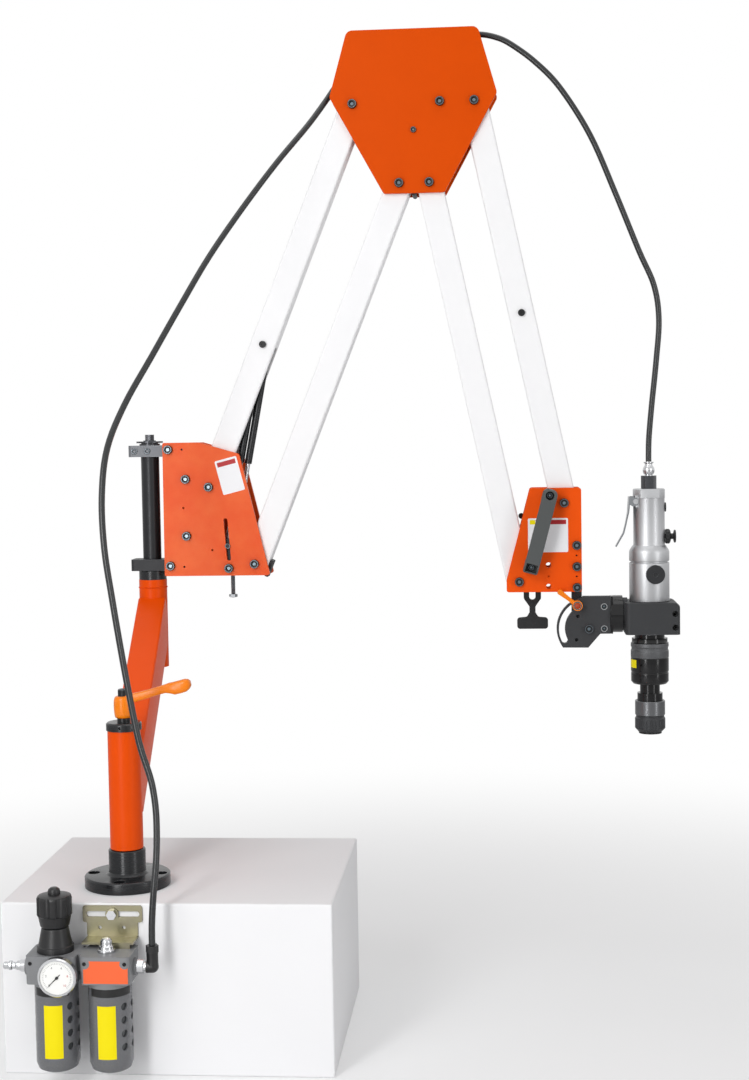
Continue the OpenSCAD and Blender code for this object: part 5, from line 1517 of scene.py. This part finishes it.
@dataclass
class Motor:
    """Motor clamp, air motor, its controls and the chuck, with its sizes in millimetres.

    Args:
        nut_rise: The inlet nut's height.
        chuck_drop: The chuck's upper end below the motor clamp.
        ring_top: The grey ring's upper edge below the chuck's upper end.
        ring_low: Its lower edge.
        nose_drop: The knurled nose's upper edge.
        sticker_radius: The radius that the yellow film lies on.
        sticker_sides: Its left and right edges, from the chuck's axis.
        sticker_drops: Its lower and upper edges below the chuck's upper end.
    """

    nut_rise: float = 22.3
    chuck_drop: float = 10.0
    ring_top: float = 7.0
    ring_low: float = 32.3
    nose_drop: float = 133.0
    sticker_radius: float = 32.5
    sticker_sides: tuple[float, float] = (-32.3, -24.6)
    sticker_drops: tuple[float, float] = (49.5, 35.5)

    def inlet(self) -> None:
        """The dark inlet nut and the chromed nipple."""
        low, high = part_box("motor_inlet")
        middle = low.z / MM + self.nut_rise
        nut = slab("motor_inlet", low.z / MM - 1, middle, 0.6)
        piece("inlet_nut", nut, DARK_STEEL, "motor", ["motor_inlet"])
        piece("inlet_nipple", slab("motor_inlet", middle, high.z / MM + 1, 0.2), BRIGHT_STEEL, "motor")

    def chuck(self) -> None:
        """The black chuck with its grey ring, and the sleeve with its knurled nose."""
        axis = pivot("spindle_spin")
        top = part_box("motor_clamp")[0].z / MM - self.chuck_drop
        low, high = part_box("chuck_body")
        ring_top, ring_low = top - self.ring_top, top - self.ring_low
        collar = slab("chuck_body", ring_top, high.z / MM + 1, 0.4)
        piece("chuck_collar", collar, CHUCK_BLACK, "spindle", ["chuck_body"])
        piece("chuck_ring", slab("chuck_body", ring_low, ring_top, 0.3), GREY_RING, "spindle")
        piece("chuck_barrel", slab("chuck_body", low.z / MM - 1, ring_low, 0.3), CHUCK_BLACK, "spindle")
        levels = [top - drop for drop in self.sticker_drops]
        wrapped_card("chuck_sticker", axis, self.sticker_radius, *self.sticker_sides, *levels, CARD_YELLOW,
                     "spindle")
        low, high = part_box("chuck_sleeve")
        middle = top - self.nose_drop
        barrel = slab("chuck_sleeve", middle, high.z / MM + 1, 0.3, hollow=True)
        piece("sleeve_barrel", barrel, SATIN_SLEEVE, "sleeve", ["chuck_sleeve"])
        nose = slab("chuck_sleeve", low.z / MM - 1, middle, 0, hollow=True)
        piece("sleeve_nose", nose, CHUCK_NOSE, "sleeve")

    def build(self) -> None:
        """Builds the motor and the chuck."""
        Dressing("motor", {
            "motor_clamp": (DARK_ANODISED, 0.6), "motor_body": (SATIN_ALUMINIUM, 0.25),
            "motor_plugs": (BLACK_BLOCK, 0.5),
        }).build()
        self.inlet()
        Dressing("trigger", {"trigger_lever": (PLAIN_STEEL, 0)}).build()
        Dressing("reverser", {"reverse_knob": (BLACK_NYLON, 0.3)}).build()
        self.chuck()


@dataclass
class AirUnit:
    """Regulator, lubricator, gauge and bracket of the air service unit, with sizes in millimetres.

    Args:
        ticks: Lines of the gauge's scale.
        sweep: The scale's angle in degrees.
        needle_turn: The needle's turn from upright, to the left.
        number_size: Height of the scale's numbers.
        card_levels: Lower and upper edge of the yellow films.
        band_levels: Lower and upper edge of the dark bands.
        bolt_place: The bracket's bolt, with Y from the bracket's back.
        bolt_radius: Its hexagon's outer radius.
        screw_side: The castings' screws, to each side of the guards' axes.
        screw_drop: Their distance below the castings' top.
    """

    ticks: int = 41
    sweep: float = 270.0
    needle_turn: float = 135.0
    number_size: float = 4.6
    card_levels: tuple[float, float] = (-209.3, -130.5)
    band_levels: tuple[float, float] = (-117.6, -105.8)
    bolt_place: Point = (0.7, -22.0, -15.7)
    bolt_radius: float = 7.7
    screw_side: float = 29.6
    screw_drop: float = 10.0

    def gauge(self) -> None:
        """The dial's face, ticks, plain numbers and needle."""
        low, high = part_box("gauge_case")
        centre = Vector(((low.x + high.x) / 2, low.y, (low.z + high.z) / 2))
        face = centre + Vector((0, 2.9 * MM, 0))
        settle_cad("gauge_case", BRIGHT_STEEL)
        disc = turned([(0, 0), (24.8, 0), (24.8, 0.6), (0, 0.6)], facing(face, FRONT), 64)
        piece("dial_face", disc, DIAL_WHITE, "stand", ["gauge_dial"])
        plate = facing(face + Vector((0, -0.6 * MM, 0)), FRONT)
        tick = bmesh.new()
        bmesh.ops.create_cube(tick, size=1.0)
        bmesh.ops.scale(tick, vec=(0.35 * MM, 2.2 * MM, 0.1 * MM), verts=tick.verts)
        places = []
        for k in range(self.ticks):
            a = math.radians(90 + self.sweep / 2 - self.sweep * k / (self.ticks - 1))
            turn = Matrix.Rotation(a - math.pi / 2, 4, "Z")
            places.append(plate @ turn @ Matrix.Translation(spot(0, 20.6, 0.03)))
        Repeat("dial_ticks", tick, places, DIAL_BLACK).build("stand")
        pointer = [(-0.5, -7), (0.5, -7), (0.9, -1), (0.25, 18.5), (-0.25, 18.5), (-0.9, -1)]
        turned_plate = plate @ Matrix.Rotation(math.radians(self.needle_turn), 4, "Z")
        needle = prism(pointer, 0.5, 0.9, turned_plate)
        hub = turned([(0, 0.2), (2.3, 0.2), (2.3, 1.2), (1.8, 1.5), (0, 1.5)], plate, 24)
        piece("dial_needle", gather(needle, hub), DIAL_BLACK, "stand")
        self.numbers(plate)

    def numbers(self, plate: Matrix) -> None:
        """Plain numbers round the dial, from 0 to 10."""
        for k in range(0, 11, 2):
            a = math.radians(90 + self.sweep / 2 - self.sweep * k / 10)
            data = bpy.data.curves.new(f"number_{k}", "FONT")
            data.body = str(k)
            data.size = self.number_size * MM
            data.align_x = "CENTER"
            data.align_y = "CENTER"
            data.extrude = 0.04 * MM
            carrier = placed(f"number_{k}_curve", data)
            bpy.context.view_layer.update()
            ready = carrier.evaluated_get(bpy.context.evaluated_depsgraph_get())
            mesh = bpy.data.meshes.new_from_object(ready)
            bpy.data.objects.remove(carrier)
            mesh.transform(plate @ Matrix.Translation(spot(16 * math.cos(a), 16 * math.sin(a), 0.06)))
            settle(placed(f"dial_number_{k}", mesh), DIAL_BLACK if k < 8 else DIAL_RED, "stand")

    def labels(self) -> None:
        """Plain films on the guards and the lubricator, with no words."""
        low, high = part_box("bowl_guards")
        radius = (high.y - low.y) / 2 / MM
        left_axis = Vector((low.x + radius * MM, (low.y + high.y) / 2, 0))
        right_axis = Vector((high.x - radius * MM, (low.y + high.y) / 2, 0))
        # each film: its name, the guard's axis, its left and right edges, its levels and its surface
        films = [
            ("left_card", left_axis, -11.3, 15.5, *self.card_levels, CARD_YELLOW),
            ("right_card", right_axis, -12.4, 14.4, *self.card_levels, CARD_YELLOW),
            ("left_band", left_axis, -24.1, 24, *self.band_levels, BLACK_NYLON),
            ("right_band", right_axis, -22.1, 31, *self.band_levels, BLACK_NYLON),
        ]
        for name, axis, first, last, foot, top, finish in films:
            wrapped_card(name, axis, radius, first, last, foot, top, finish, "stand")
        body_low, body_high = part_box("lubricator_body")
        outline = [
            (-25.7, -96.7), (39.9, -96.7), (39.9, -74),
            *arc((35.3, -67.6), 7.5, -52, -211, 8), *arc((-24, -68), 7.7, 34, -103, 8),
        ]
        place = facing(Vector((0, body_low.y, 0)), FRONT)
        piece("lubricator_card", prism(outline, 0, 0.15, place), CARD_ORANGE, "stand")
        self.bracket_bolt()
        screw = turned(
            [(0, -3), (1.4, -3), (1.4, -0.6), (2.9, -0.6), (2.9, 0.3), (2.6, 0.6), (1.4, 0.6)], Matrix(), 24
        )
        spots = [(axis.x + side * self.screw_side * MM, body_high.z - self.screw_drop * MM)
                 for axis in (left_axis, right_axis) for side in (-1, 1)]
        seats = on_plate(spots, body_low.y, FRONT)
        Repeat("casting_screws", screw, seats, BLACK_NYLON).build("stand")

    def bracket_bolt(self) -> None:
        """The hexagon head that holds the air unit to its bracket."""
        x, y, z = self.bolt_place
        bolt = facing(Vector((x * MM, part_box("frl_bracket")[1].y + y * MM, z * MM)), FRONT)
        head = prism(arc((0, 0), self.bolt_radius, 0, 300, 5), 5.05, 10.7, bolt)
        piece("bracket_bolt", head, BRIGHT_STEEL, "stand")

    def build(self) -> None:
        """Builds the air unit."""
        Dressing("stand", {
            "frl_bracket": (YELLOW_ZINC, 0.3), "regulator_body": (GREY_CASTING, 0.8),
            "lubricator_body": (GREY_CASTING, 0.8), "frl_tops": (BLACK_NYLON, 0.4),
            "bowl_guards": (GREY_GUARD, 0.4), "bowls": (BOWL_CLEAR, 0), "frl_fittings": (BRIGHT_STEEL, 0.2),
            "outlet_elbow": (BLACK_NYLON, 0.4),
        }).build()
        Dressing("knob", {"regulator_knob": (BLACK_NYLON, 0.4)}).build()
        self.gauge()
        self.labels()


# ---------------------------------------------------------------- the whole


def main() -> None:
    """Builds the studio and every sub-assembly in order."""
    logging.basicConfig(level=logging.INFO, format="%(name)s: %(message)s")
    studio = Studio()
    studio.camera()
    AirHoses().build()
    for part in (Column(), Shoulder(), Arms(), Wrist(), Motor(), AirUnit()):
        part.build()
        log.info("built %s", type(part).__name__)
    studio.ground()
    studio.light()


if __name__ == "__main__":
    main()
